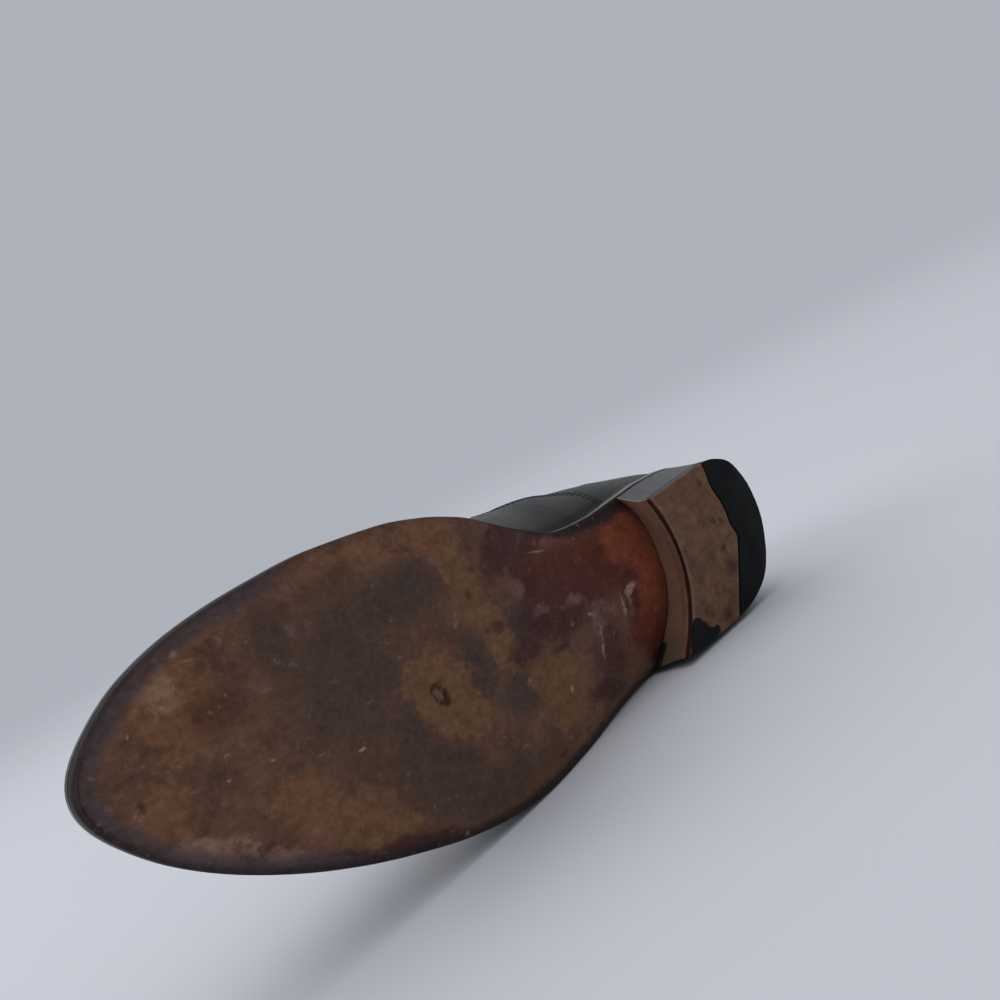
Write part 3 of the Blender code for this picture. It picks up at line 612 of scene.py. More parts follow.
WELT_THICKNESS = 2.6 * MM
HEEL_RAND = 1.2 * MM
RAND_ENDS, WELT_FULL = 70 * MM, 140 * MM
WELT_JOINT = 0.04 * MM
GAP = 0.3 * MM
STITCH_PITCH = 3.4 * MM
WELT_ROWS = 1400
CRIMP_FROM, CRIMP_FULL = 84 * MM, 110 * MM
CRIMP_DEPTH = 0.32 * MM
RUBBED_FROM, RUBBED_TO = 0.1 * MM, 1.1 * MM

WELT_SECTION = np.array([
    # inset, height share, how much the wheel presses it
    (0.0, 0.0, 0.0),
    (0.0, 0.5, 0.0),
    (0.02, 0.8, 0.4),
    (0.16, 0.93, 0.8),
    (0.5, 1.0, 1.0),
    (1.2, 1.0, 1.0),
    (2.2, 1.0, 0.7),
    (3.4, 1.0, 0.2),
    (6.0, 1.0, 0.0),
    (9.0, 1.0, 0.0),
    (9.0, 0.0, 0.0),
])


def welt_depth(x):
    return HEEL_RAND + (WELT_THICKNESS - HEEL_RAND) * ease(x, RAND_ENDS, WELT_FULL)


def feather_height(x):
    """Height where the upper stands on the welt."""
    return underside(x) + SOLE_THICKNESS + GAP + welt_depth(x) + GAP


def way_along(points):
    """The length of a line up to each of its points."""
    return np.append(0, np.cumsum(np.linalg.norm(np.diff(points, axis=0), axis=1)))


def spaced(points, pitch):
    """Evenly spaced points along a line, about a pitch apart."""
    way = way_along(points)
    count = max(2, int(round(way[-1] / pitch)))
    stops = np.linspace(0, way[-1], count + 1)
    return np.stack([np.interp(stops, way, points[:, k]) for k in range(points.shape[1])], axis=-1)


welt_angles = np.linspace(-math.pi, math.pi, WELT_ROWS, endpoint=False)
welt_edge = edge_at(welt_angles)
crimp = 0.5 + 0.5 * np.cos(2 * math.pi * way_along(welt_edge) / STITCH_PITCH)
crimp = CRIMP_DEPTH * crimp**3 * ease(welt_edge[:, 0], CRIMP_FROM, CRIMP_FULL)
welt_plan = edge_point(welt_angles[:, None], WELT_SECTION[:, 0] * MM)
welt_low = underside(welt_plan[..., 0]) + SOLE_THICKNESS + WELT_JOINT
welt_high = feather_height(welt_plan[..., 0]) - 0.5 * GAP
welt_z = welt_low + (welt_high - welt_low) * WELT_SECTION[:, 1] - crimp[:, None] * WELT_SECTION[:, 2]
welt_piece = loft("welt_strip", raised(welt_plan, welt_z), round_rows=True, round_columns=True)
welt_distance = from_edge(*corners(welt_piece).T[:2])
mark(welt_piece, "rubbed", 1 - ease(welt_distance, RUBBED_FROM, RUBBED_TO))


# Edge ink: black wax ink burnished hot over leather, satin, rubbed through to brown on the corners.
def edge_ink(name, under, rubbed_share):
    material = new_material(name)
    where = node(material, "ShaderNodeAttribute", attribute_name="shoe", out="Vector")
    rubbed = node(material, "ShaderNodeAttribute", attribute_name="rubbed", out="Fac")
    # Scuffs of 3 mm, and the leather's layers drawn out along the edge in lines of 0.7 mm
    scuff = node(material, "ShaderNodeTexNoise",
                 {"Vector": where, "Scale": 1 / (3 * MM), "Detail": 6, "Roughness": 0.65})
    layered = node(material, "ShaderNodeMapping", {"Vector": where, "Scale": (0.08, 0.08, 1)})
    layers = node(material, "ShaderNodeTexNoise",
                  {"Vector": layered, "Scale": 1 / (0.7 * MM), "Detail": 3})
    worn = node(material, "ShaderNodeMath", {0: scuff, 1: rubbed}, operation="MULTIPLY")
    mask = node(material, "ShaderNodeMapRange",
                {"Value": worn, "From Min": 0.42, "From Max": 0.66, "To Max": rubbed_share})
    black = node(material, "ShaderNodeMix", {0: scuff, 6: colour("#17161a"), 7: colour("#2a292d")},
                 data_type="RGBA", out=2)
    ink_tone = node(material, "ShaderNodeMix", {0: mask, 6: black, 7: colour(under)},
                    data_type="RGBA", out=2)
    ink_rough = node(material, "ShaderNodeMapRange",
                     {"Value": scuff, **NOISE_SPAN, "To Min": 0.26, "To Max": 0.46})
    height = node(material, "ShaderNodeMath", {0: layers, 1: scuff}, operation="ADD")
    ink_bump = node(material, "ShaderNodeBump",
                    {"Height": height, "Strength": 0.35, "Distance": 0.2 * MM})
    surface(material, {
        "Base Color": ink_tone, "Roughness": ink_rough, "Normal": ink_bump,
        "Coat Weight": 0.2, "Coat Roughness": 0.3,
    })
    return material


lay_down(welt_piece, edge_ink("black edge ink on welt leather", "#6b5440", 0.8))
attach(welt_piece, "root")
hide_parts("welt")

# Heel stack
# Lifts of sole leather pegged one on another, shaved to a slight taper and inked black. The front,
# the breast, is hollowed and left a dull brown.

SEAT_INSET = 0.5 * MM
HEEL_TAPER = 3.0 * MM
BREAST_CENTRE = 59.5 * MM
BREAST_CURVE = 13.5 * MM
BREAST_HALF = 36 * MM
TOP_PIECE_THICKNESS = 6.0 * MM
LIFT_THICKNESS = 4.6 * MM
BREAST_LEAN = 4.5 * MM
HEEL_SIDE_POINTS = 90
BREAST_POINTS = 80
STACK_ROWS = 56
STACK_RINGS = 3
STACK_MIDDLE = 32 * MM
FOOT_JOINT, SEAT_JOINT, SEAT_HOLLOW = 0.1 * MM, 0.08 * MM, 0.3 * MM
SIDE_FLARE = 1.3
LIFT_GROOVE, LIFT_GROOVE_HALF = 0.06 * MM, 0.28 * MM
GROOVES_FROM, GROOVES_FULL = 7.5 * MM, 8.5 * MM
HALVINGS = 40
# Where the stack's marks start and end
BREAST_EDGE = 0.3 * MM, 1.2 * MM
OUTER_END = 22 * MM, 34 * MM
NOTCH_RISE = 0.5, 0.85
RUBBED_BEHIND, RUBBED_HALF = 0.6 * MM, 1.4 * MM

# How much of the taper the heel's side has: least at its inner back corner, most along the inner side
TAPER_ROUND = np.array([
    # angle round the heel, share of the taper
    (-0.40, 1.0),
    (-0.15, 0.7),
    (0.0, 0.35),
    (0.2, 0.1),
    (0.45, 0.2),
    (0.65, 0.9),
    (0.85, 1.5),
])


def breast_x(y, lean=0.0):
    """The heel breast is hollow: its corners reach further forward than its middle.

    Its inner end leans back on the way up to the sole."""
    return BREAST_CENTRE + BREAST_CURVE * (y / BREAST_HALF) ** 2 - lean * ease(y, 0, 30 * MM)


def heel_edge(angle, inset):
    """Points of the heel's outline, moved in by its taper, which changes round the heel."""
    return edge_point(angle, inset * np.interp(angle, TAPER_ROUND[:, 0], TAPER_ROUND[:, 1]))


def heel_corner(side, inset, front):
    """The angle round the outline at which the heel's side meets a line across it, x = front(y)."""
    low, high = 0.0, math.pi / 2
    for _ in range(HALVINGS):
        turn = (low + high) / 2
        x, y = heel_edge(np.float64(side * turn), inset)
        low, high = (turn, high) if x < front(y) else (low, turn)
    return side * low


def breast_corner(side, inset, lean=0.0):
    """The angle round the outline at which the heel's side meets the breast."""
    return heel_corner(side, inset, lambda y: breast_x(y, lean))


def breast_line(first, last, lean=0.0):
    """Points along the breast between two corners, without the corners."""
    y = np.linspace(first[1], last[1], BREAST_POINTS + 2)[1:-1]
    return np.stack([breast_x(y, lean), y], axis=-1)


def heel_outline(inset, lean=0.0):
    """The heel's outline, from the inner breast corner round the back and along the breast."""
    angles = np.concatenate([
        np.linspace(breast_corner(1, inset, lean), 0, HEEL_SIDE_POINTS),
        np.linspace(0, breast_corner(-1, inset, lean), HEEL_SIDE_POINTS)[1:],
    ])
    sides = heel_edge(angles, inset)
    return np.concatenate([sides, breast_line(sides[-1], sides[0], lean)])


def sole_height(x, y):
    """Height of the sole's underside over a point in plan."""
    inner, outer = inner_edge(turn_of(x)), outer_edge(turn_of(x))
    half = (inner - outer) / 2
    return sole_bottom(x, np.clip((y - (inner + outer) / 2) / half, -1, 1), half)


stack_foot = heel_outline(HEEL_TAPER)
stack_head = heel_outline(SEAT_INSET, BREAST_LEAN)
stack_low = TOP_PIECE_THICKNESS + FOOT_JOINT
stack_high = sole_height(*stack_head.T) - SEAT_JOINT
stack_share = np.linspace(0, 1, STACK_ROWS)[None, :, None]
stack_plan = stack_foot[:, None] + (stack_head - stack_foot)[:, None] * stack_share**SIDE_FLARE
stack_z = stack_low + (stack_high - stack_low)[:, None] * stack_share[..., 0]
stack_middle = np.array([STACK_MIDDLE, 0.0])
from_joint = (stack_z - stack_low + LIFT_THICKNESS / 2) % LIFT_THICKNESS - LIFT_THICKNESS / 2
groove = LIFT_GROOVE * np.exp(-((from_joint / LIFT_GROOVE_HALF) ** 2))
groove = groove * ease(stack_z, GROOVES_FROM, GROOVES_FULL)
stack_plan = stack_plan + unit(stack_middle - stack_plan) * groove[..., None]
stack_wall = raised(stack_plan, stack_z)


def closed_block(wall, middle, rings, low, high):
    """Carries a ring-shaped wall in to its middle at both ends, so that it becomes a closed block."""
    parts = []
    for rim, height in ((wall[:, 0], low), (wall[:, -1], high)):
        centre = np.array([*middle, height])
        share = np.linspace(0, 1, rings + 1)[None, :, None]
        parts.append(centre + (rim[:, None] - centre) * share)
    return np.concatenate([parts[0][:, :-1], wall, parts[1][:, -2::-1]], axis=1)


stack_head_middle = sole_height(*stack_middle) - SEAT_HOLLOW
stack_points = closed_block(stack_wall, stack_middle, STACK_RINGS, stack_low, stack_head_middle)
stack_piece = loft("heel_lifts", stack_points, round_rows=True)
stack_x, stack_y, stack_z = corners(stack_piece).T
climbed = np.clip((stack_z - stack_low) / (sole_height(stack_x, stack_y) - stack_low), 0, 1) ** SIDE_FLARE
behind_breast = breast_x(stack_y, BREAST_LEAN * climbed) - stack_x
on_breast = 1 - ease(behind_breast, *BREAST_EDGE)
outer_end = on_breast * ease(-stack_y, *OUTER_END)
mark(stack_piece, "breast", on_breast)
mark(stack_piece, "olive", outer_end)
# Painted shade, near black, in the notch where the breast's outer end meets the sole
mark(stack_piece, "notch_shade", ease(outer_end, 0.6, 1.0) * ease(climbed, *NOTCH_RISE))
mark(stack_piece, "rubbed", 1 - ease(abs(behind_breast - RUBBED_BEHIND), 0, RUBBED_HALF))

# The breast's leather: bare cut edges of the lifts, dull brown, greenish and dirty at the outer end, and
# near black in painted shade where that end meets the sole.
stack_ink = edge_ink("black edge ink on stacked leather", "#6a5646", 0.7)
shader = stack_ink.node_tree.nodes["Principled BSDF"]
inked = shader.inputs["Base Color"].links[0].from_socket
satin = shader.inputs["Roughness"].links[0].from_socket
place = node(stack_ink, "ShaderNodeAttribute", attribute_name="shoe", out="Vector")
breast = node(stack_ink, "ShaderNodeAttribute", attribute_name="breast", out="Fac")
cloud = node(stack_ink, "ShaderNodeTexNoise",
             {"Vector": place, "Scale": 1 / (6 * MM), "Detail": 6, "Roughness": 0.65})
bare = node(stack_ink, "ShaderNodeMix", {0: cloud, 6: colour("#7f5c4b"), 7: colour("#a17861")},
            data_type="RGBA", out=2)
stack_tone = node(stack_ink, "ShaderNodeMix", {0: breast, 6: inked, 7: bare}, data_type="RGBA", out=2)
stack_rough = node(stack_ink, "ShaderNodeMix", {0: breast, 2: satin, 3: 0.62}, data_type="FLOAT")
BREAST_TONES = {
    # mark: colour, roughness, how ragged its edge is, how soft its edge is, how much it covers
    "olive": ("#716147", 0.62, 0.8, 0.35, 0.8),
    # notch: painted shade where the breast meets the sole
    "notch_shade": ("#0f0d0d", 0.7, 0.6, 0.2, 0.95),
}
stack_tone, stack_rough = stained(stack_ink, stack_tone, stack_rough, cloud, BREAST_TONES)
surface(stack_ink, {"Base Color": stack_tone, "Roughness": stack_rough})

lay_down(stack_piece, stack_ink)
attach(stack_piece, "root")
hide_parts("heel_stack")

# Heel top piece and rubber tip
# The last lift, nailed on: a leather front part, and behind its V-shaped end a quarter of black
# rubber. Both are worn, and the rubber is rounded off at the back.

RUBBER_CENTRE = 22.0 * MM
RUBBER_INNER = 31.0 * MM
RUBBER_OUTER = 38.0 * MM
RUBBER_HALF = 34 * MM
V_WAVE, V_WAVE_LENGTH = 0.7 * MM, 3.1 * MM
TREAD_RINGS = 30
V_POINTS = 40
SIDE_POINTS = 60
BACK_POINTS = 160
TOP_MIDDLE = np.array([45 * MM, -1 * MM])
RUBBER_MIDDLE = np.array([11 * MM, 0.0])

# Edge of a tread block in section: how far in from its outline, and how high
BLOCK_RIM = np.array([
    # inset, height, share of the groove
    (1.1, 0.0, 0.0),
    (0.55, 0.1, 0.0),
    (0.2, 0.35, 0.0),
    (0.0, 0.8, 0.0),
    (0.0, 1.1, 0.5),
    (0.0, 1.5, 1.0),
    (0.0, 3.0, 1.0),
    (0.0, 3.4, 0.5),
    (0.0, 3.7, 0.0),
    (0.0, 5.8, 0.0),
    (0.06, 6.0, 0.0),
])
BLOCK_RIM[:, :2] *= MM
GROOVE_DEPTH = 1.4 * MM


def rubber_line(y):
    """Front edge of the rubber: a wide V that points back."""
    side = np.where(y > 0, RUBBER_INNER, RUBBER_OUTER)
    wavy = V_WAVE * np.sin(y / V_WAVE_LENGTH) * ease(y, 2 * MM, 8 * MM)
    return RUBBER_CENTRE + (side - RUBBER_CENTRE) * abs(y) / RUBBER_HALF + wavy


def v_line(first, last, forward):
    """Points along the V from one side of the heel to the other, without its ends."""
    y = np.concatenate([np.linspace(first, 0, V_POINTS)[1:], np.linspace(0, last, V_POINTS)[1:-1]])
    return np.stack([rubber_line(y) + forward, y], axis=-1)


def tread_block(name, outline, middle, wear, groove):
    """A flat block with a rounded rim and a groove of the given depths round its side.

    Wear gives how much its tread has gone at a point."""
    inset = BLOCK_RIM[:, 0] + groove[:, None] * BLOCK_RIM[:, 2]
    plan = outline[:, None] + unit(middle - outline)[:, None] * inset[..., None]
    wall = raised(plan, np.broadcast_to(BLOCK_RIM[:, 1], plan.shape[:2]))
    points = closed_block(wall, middle, TREAD_RINGS, 0.0, TOP_PIECE_THICKNESS)
    height = points[..., 2]
    spot = raised(points[..., :2], 0 * height)
    dents = 0.3 * MM * clouds(spot, 9 * MM) + 0.08 * MM * clouds(spot, 2 * MM, 2)
    points[..., 2] = height + (1 - ease(height, 0, TOP_PIECE_THICKNESS)) * (wear(spot) + dents)
    return loft(name, points, round_rows=True)


half_gap = 0.1 * MM
inner_turn, outer_turn = (heel_corner(side, HEEL_TAPER, rubber_line) for side in (1, -1))
inner_side = heel_edge(np.linspace(breast_corner(1, HEEL_TAPER), inner_turn, SIDE_POINTS), HEEL_TAPER)
outer_side = heel_edge(np.linspace(outer_turn, breast_corner(-1, HEEL_TAPER), SIDE_POINTS), HEEL_TAPER)
back_side = heel_edge(np.linspace(inner_turn, outer_turn, BACK_POINTS), HEEL_TAPER)
top_outline = np.concatenate([
    inner_side,
    v_line(inner_side[-1, 1], outer_side[0, 1], half_gap),
    outer_side,
    breast_line(outer_side[-1], inner_side[0]),
])
rubber_outline = np.concatenate([
    back_side,
    v_line(back_side[-1, 1], back_side[0, 1], -half_gap),
])


def top_wear(spot):
    """The leather is worn towards its outer side."""
    return 0.4 * MM * ease(-spot[..., 1], 10 * MM, 34 * MM)


def rubber_wear(spot):
    """The rubber is worn towards its outer side, and more towards the back."""
    return 0.3 * MM * ease(-spot[..., 1], 0, 30 * MM) + 0.8 * MM * ease(-spot[..., 0], -14 * MM, 0)


breast_share = np.linspace(0, 1, BREAST_POINTS)
top_groove = np.zeros(len(top_outline))
top_groove[-BREAST_POINTS:] = GROOVE_DEPTH * ease(breast_share, 0, 0.12) * ease(1 - breast_share, 0, 0.08)
top_piece = tread_block("heel_top_leather", top_outline, TOP_MIDDLE, top_wear, top_groove)
no_groove = np.zeros(len(rubber_outline))
rubber_piece = tread_block("heel_rubber_quarter", rubber_outline, RUBBER_MIDDLE, rubber_wear, no_groove)

TOP_MARKS = {
    "rosy": [(45, 25, 12, 6, 8, 0.9), (58, 26, 8, 4, 0, 0.6)],
    "smoky": [(33, -11, 4.5, 3.4, -30, 0.95), (44, -28, 5, 3, 10, 0.7), (55, -6, 8, 5, 30, 0.5)],
    "spots": [
        (35, 10, 2.0, 1.4, 20, 0.9), (34, -2, 2.0, 1.4, -20, 1.0), (36, 27, 2, 1.8, 0, 0.7),
        (43.5, -28, 1.5, 1.3, 0, 0.8), (40, 16, 1.6, 1.0, 30, 0.6), (30, 9, 2.6, 1.4, 50, 0.8),
    ],
    "torn": [
        (65, -29.5, 7.5, 5, 10, 1.0), (67, -34, 6, 3, 0, 1.0), (58, -33, 7, 2.6, -12, 1.0),
        (63, -26, 3, 2, 30, 0.9), (65, -38, 10, 4, 0, 1.0), (54, -37.5, 8, 3, -8, 1.0),
    ],
    "scratch": [(46.5, 15, 0.4, 3.4, -20, 0.9), (39, -3.2, 1.4, 0.5, -15, 0.9), (31, -17, 0.5, 3, 35, 0.7)],
}
# Where the top piece's marks start and end: how far behind its front, and how high up its side
FRONT_FACE = 1.7 * MM, 2.4 * MM
TREAD_ENDS = 0.8 * MM, 1.4 * MM
GROOVE_STARTS = 0.9 * MM, 1.4 * MM
GROOVE_ENDS = 3.2 * MM, 3.7 * MM
FRONT_RUBBED = 0.6 * MM, 1.3 * MM
V_RUBBED = 0.4 * MM, 1.1 * MM
V_OUTER_ARM = 3 * MM, 8 * MM
top_x, top_y, top_z = corners(top_piece).T
behind_front = breast_x(top_y) - top_x
at_front = 1 - ease(behind_front, *FRONT_FACE)
on_tread = 1 - ease(top_z, *TREAD_ENDS)
for mark_name, rows in TOP_MARKS.items():
    mark(top_piece, mark_name, covered(top_x, top_y, rows) * on_tread)
# The recessed groove across the top piece's front is painted dark red brown: painted shade in the groove
mark(top_piece, "groove", at_front * ease(top_z, *GROOVE_STARTS))
mark(top_piece, "breast", at_front * ease(top_z, *GROOVE_ENDS))
mark(top_piece, "inked", (1 - at_front) * (1 - on_tread))
# Its front edge and the outer arm of the V are rubbed pale
rubbed_front = 1 - ease(behind_front, *FRONT_RUBBED)
rubbed_v = (1 - ease(top_x - rubber_line(top_y), *V_RUBBED)) * ease(-top_y, *V_OUTER_ARM)
mark(top_piece, "front", np.maximum(rubbed_front, rubbed_v) * on_tread)

# Tread leather of the heel: tan brown, matt and fibrous, with ground-in dirt and nail stains.
heel_leather = new_material("worn heel leather")
place = node(heel_leather, "ShaderNodeAttribute", attribute_name="shoe", out="Vector")
mottle = node(heel_leather, "ShaderNodeTexNoise",
              {"Vector": place, "Scale": 1 / (9 * MM), "Detail": 6, "Roughness": 0.65})
fibre = node(heel_leather, "ShaderNodeTexNoise",
             {"Vector": place, "Scale": 1 / (3 * MM), "Detail": 7, "Roughness": 0.7})
mottled = node(heel_leather, "ShaderNodeMapRange", {"Value": mottle, **NOISE_SPAN})
tone = node(heel_leather, "ShaderNodeMix", {0: mottled, 6: colour("#5c4130"), 7: colour("#88674c")},
            data_type="RGBA", out=2)
rough = node(heel_leather, "ShaderNodeMapRange",
             {"Value": mottle, **NOISE_SPAN, "To Min": 0.6, "To Max": 0.8})
HEEL_TONES = {
    # mark: colour, roughness, how ragged its edge is, how soft its edge is, how much it covers
    "rosy": ("#774f40", 0.6, 1.5, 0.35, 0.7),
    "smoky": ("#41302a", 0.65, 1.8, 0.35, 0.65),
    "spots": ("#412818", 0.6, 2.0, 0.3, 0.7),
    "scratch": ("#8c7362", 0.7, 0.8, 0.3, 0.7),
    "front": ("#86705f", 0.65, 0.4, 0.3, 0.7),
    # groove: painted shade in the recessed groove of the front face
    "groove": ("#3a1f16", 0.6, 0.3, 0.25, 0.95),
    "breast": ("#8c6550", 0.62, 0.3, 0.25, 0.95),
    "inked": ("#2b2a2d", 0.34, 0.4, 0.25, 0.95),
    "torn": ("#171618", 0.6, 1.2, 0.08, 1.0),
}
tone, rough = stained(heel_leather, tone, rough, fibre, HEEL_TONES)
shade = node(heel_leather, "ShaderNodeMapRange",
             {"Value": fibre, **NOISE_SPAN, "To Min": 0.72, "To Max": 1.26})
tone = node(heel_leather, "ShaderNodeVectorMath", {0: tone, 1: shade}, operation="MULTIPLY")
bump = node(heel_leather, "ShaderNodeBump", {"Height": fibre, "Strength": 0.5, "Distance": 0.3 * MM})
surface(heel_leather, {
    "Base Color": tone, "Roughness": rough, "Normal": bump, "Specular IOR Level": 0.15,
})

# Heel rubber: carbon-black vulcanised rubber, matt, scuffed grey with dust in the pits.
rubber = new_material("black heel rubber")
place = node(rubber, "ShaderNodeAttribute", attribute_name="shoe", out="Vector")
grit = node(rubber, "ShaderNodeTexNoise",
            {"Vector": place, "Scale": 1 / (1.6 * MM), "Detail": 6, "Roughness": 0.7})
dust = node(rubber, "ShaderNodeTexNoise",
            {"Vector": place, "Scale": 1 / (12 * MM), "Detail": 5, "Roughness": 0.6})
dusty = node(rubber, "ShaderNodeMath", {0: grit, 1: dust}, operation="MULTIPLY")
mask = node(rubber, "ShaderNodeMapRange",
            {"Value": dusty, "From Min": 0.26, "From Max": 0.5, "To Max": 0.35})
tone = node(rubber, "ShaderNodeMix", {0: mask, 6: colour("#08080a"), 7: colour("#2e2d31")},
            data_type="RGBA", out=2)
rough = node(rubber, "ShaderNodeMapRange", {"Value": dust, **NOISE_SPAN, "To Min": 0.5, "To Max": 0.72})
bump = node(rubber, "ShaderNodeBump", {"Height": grit, "Strength": 0.5, "Distance": 0.25 * MM})
surface(rubber, {"Base Color": tone, "Roughness": rough, "Normal": bump, "Specular IOR Level": 0.14})

lay_down(top_piece, heel_leather, smooth_angle=50)
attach(top_piece, "root")
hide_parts("heel_top_piece")
lay_down(rubber_piece, rubber, smooth_angle=50)
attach(rubber_piece, "root")
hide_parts("heel_rubber_tip")

# Insole
# A board with a leather sock glued over it, inside the upper and on the welt. It is pale tan,
# darkened by the heel and the ball of the foot.

INSOLE_THICKNESS = 2.5 * MM
WALL = 2.2 * MM
INSOLE_ROWS = 150
INSOLE_COLUMNS = 44
TROD_DEPTH = 0.8 * MM

insole_turns = np.linspace(0, math.pi, INSOLE_ROWS)
insole_inset = edge_margin(insole_turns) + WALL + GAP
insole_inner, insole_outer = edge_point(insole_turns, insole_inset), edge_point(-insole_turns, insole_inset)
insole_share = (np.linspace(1, -1, INSOLE_COLUMNS)[None, :, None] + 1) / 2
insole_plan = insole_outer[:, None] + (insole_inner - insole_outer)[:, None] * insole_share
insole_low = feather_height(insole_plan[..., 0])
trodden = TROD_DEPTH * covered(insole_plan[..., 0], insole_plan[..., 1], [
    (34, 1, 24, 22, 0, 1.0), (205, -2, 34, 34, 0, 0.9),
])
uneven = 0.3 * MM * (clouds(raised(insole_plan, 0 * insole_low), 14 * MM) - 0.5)
insole_high = insole_low + INSOLE_THICKNESS - trodden + uneven
insole_points = np.concatenate([
    raised(insole_plan, insole_high),
    raised(insole_plan, insole_low)[:, ::-1],
], axis=1)
insole_piece = loft("insole_sock", insole_points, round_columns=True)
mark(insole_piece, "trodden", covered(*corners(insole_piece).T[:2], [
    (34, 1, 26, 24, 0, 1.0), (205, -2, 36, 36, 0, 0.9), (262, 12, 16, 14, 0, 0.7),
], softness=1.6))


# Glove leather, for the sock and the lining: soft, beige and matt, greasy dark where it is worn.
def glove_leather(name, clean, used, mark_name):
    material = new_material(name)
    where = node(material, "ShaderNodeAttribute", attribute_name="shoe", out="Vector")
    amount = node(material, "ShaderNodeAttribute", attribute_name=mark_name, out="Fac")
    # Clouds of 12 mm, and a grain of 0.9 mm, drawn coarser than real so that it shows
    cloud = node(material, "ShaderNodeTexNoise",
                 {"Vector": where, "Scale": 1 / (12 * MM), "Detail": 5, "Roughness": 0.6})
    grain = node(material, "ShaderNodeTexVoronoi",
                 {"Vector": where, "Scale": 1 / (0.9 * MM)}, out="Distance")
    broken = node(material, "ShaderNodeMath", {0: cloud, 1: 0.6, 2: amount}, operation="MULTIPLY_ADD")
    mask = node(material, "ShaderNodeMapRange",
                {"Value": broken, "From Min": 0.5, "From Max": 1.25}, interpolation_type="SMOOTHSTEP")
    soft = node(material, "ShaderNodeMix", {0: cloud, 6: colour(clean[0]), 7: colour(clean[1])},
                data_type="RGBA", out=2)
    leather = node(material, "ShaderNodeMix", {0: mask, 6: soft, 7: colour(used)},
                   data_type="RGBA", out=2)
    leather_rough = node(material, "ShaderNodeMapRange", {"Value": mask, "To Min": 0.72, "To Max": 0.5})
    leather_bump = node(material, "ShaderNodeBump",
                        {"Height": grain, "Strength": 0.3, "Distance": 0.2 * MM})
    surface(material, {"Base Color": leather, "Roughness": leather_rough, "Normal": leather_bump})
    return material


lay_down(insole_piece, glove_leather("beige sock leather", ("#a98d69", "#c7ad88"), "#6a4a30", "trodden"))
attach(insole_piece, "root")
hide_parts("insole")

# Quarters
# The two back panels of black calf, sewn together behind the heel. They carry the facings with the
# punched eyelets, end in the collar, and are lined with glove leather.

VAMP_STEP = 1.2 * MM
THROAT_GAP = 2.0 * MM
SEAM_FOOT = 65 * MM
FACING_TOP = 115 * MM
THROAT_BASE = 172 * MM
BACK_OF_FACINGS = 70 * MM
CALF_THICKNESS = 1.15 * MM
CALF_ROUNDING = 0.3 * MM
SEAM_SHADE = 0.3 * MM, 2.0 * MM
SEAM_FADE = 2 * MM
UNDERLAP_SHARE = 0.12
QUARTER_ROWS = 420
QUARTER_COLUMNS = 64

CROWN = np.array([
    # x, y, height
    (30, 0.0, 122.0),
    (62, -0.5, 121.0),
    (88, -1.5, 117.0),
    (115, -3.0, 106.0),
    (142, -4.0, 87.5),
    (172, -4.0, 69.5),
    (203, -3.0, 57.5),
    (233, -1.5, 50.5),
    (256, 0.0, 45.5),
    (270, 1.0, 42.0),
]) * MM

SECTIONS = np.array([
    # station, crown x, rise share, inner swell, outer swell, shoulder share
    (0, 42, 0.32, 6, 6, 0.86),
    (28, 46, 0.32, 12, 9, 0.88),
    (48, 54, 0.30, 19.5, 9, 0.90),
    (72, 74, 0.28, 31, 5, 0.90),
    (97, 97, 0.30, 40.5, 5.5, 0.88),
    (117, 117, 0.34, 37, 9, 0.82),
    (142, 142, 0.40, 20, 8, 0.68),
    (172, 172, 0.46, 7.5, 6, 0.60),
    (203, 203, 0.50, 4, 4, 0.60),
    (238, 235, 0.56, 3, 3, 0.62),
    (268, 254, 0.62, 2.5, 2.5, 0.66),
    (303, 264, 0.70, 2, 2, 0.70),
])
SECTIONS[:, [0, 1, 3, 4]] *= MM

TOPLINE = np.array([
    # x, inner, outer
    (-5, 99.0, 99.0),
    (6, 98.5, 98.5),
    (22, 95.0, 94.0),
    (46, 88.0, 85.0),
    (66, 86.0, 82.0),
    (86, 90.0, 86.0),
    (102, 98.5, 95.5),
    (115, 107.0, 107.0),
]) * MM

SEAM = np.array([
    # x, height
    (65, 20.0),
    (69, 36.0),
    (76, 42.0),
    (90, 46.5),
    (112, 50.5),
    (137, 57.0),
    (157, 64.0),
    (172, 72.0),
]) * MM

crown_y, crown_z = curves(CROWN[:, 0], CROWN)
crown_x, rise_share, inner_swell, outer_swell, shoulder_share = curves(turn_of(SECTIONS[:, 0]), SECTIONS)
inner_topline, outer_topline = curves(TOPLINE[:, 0], TOPLINE)
seam_height = through(SEAM[:, 0], SEAM[:, 1])


def last_point(angle, v):
    """Points of the last: v runs from the feather line, 0, to the crown, 1."""
    angle, v = np.broadcast_arrays(np.asarray(angle, float), np.asarray(v, float))
    turn = abs(signed(angle))
    foot = edge_point(angle, edge_margin(turn))
    foot = raised(foot, feather_height(foot[..., 0]))
    top_x = crown_x(turn)
    top = np.stack([top_x, crown_y(top_x), crown_z(top_x)], axis=-1)
    reach = foot[..., :2] - top[..., :2]
    width = np.linalg.norm(reach, axis=-1)
    out = np.concatenate([reach / width[..., None], 0 * reach[..., :1]], axis=-1)
    swell = np.where(signed(angle) >= 0, inner_swell(turn), outer_swell(turn))
    slope = (crown_z(top_x + MM) - crown_z(top_x - MM)) / (2 * MM)
    shoulder = shoulder_share(turn) * width
    lower = foot + out * swell[..., None]
    lower[..., 2] += rise_share(turn) * (top[..., 2] - foot[..., 2])
    upper = top + out * shoulder[..., None]
    upper[..., 2] += slope * out[..., 0] * shoulder
    v = v[..., None]
    w = 1 - v
    return foot * w**3 + 3 * lower * w * w * v + 3 * upper * w * v * v + top * v**3


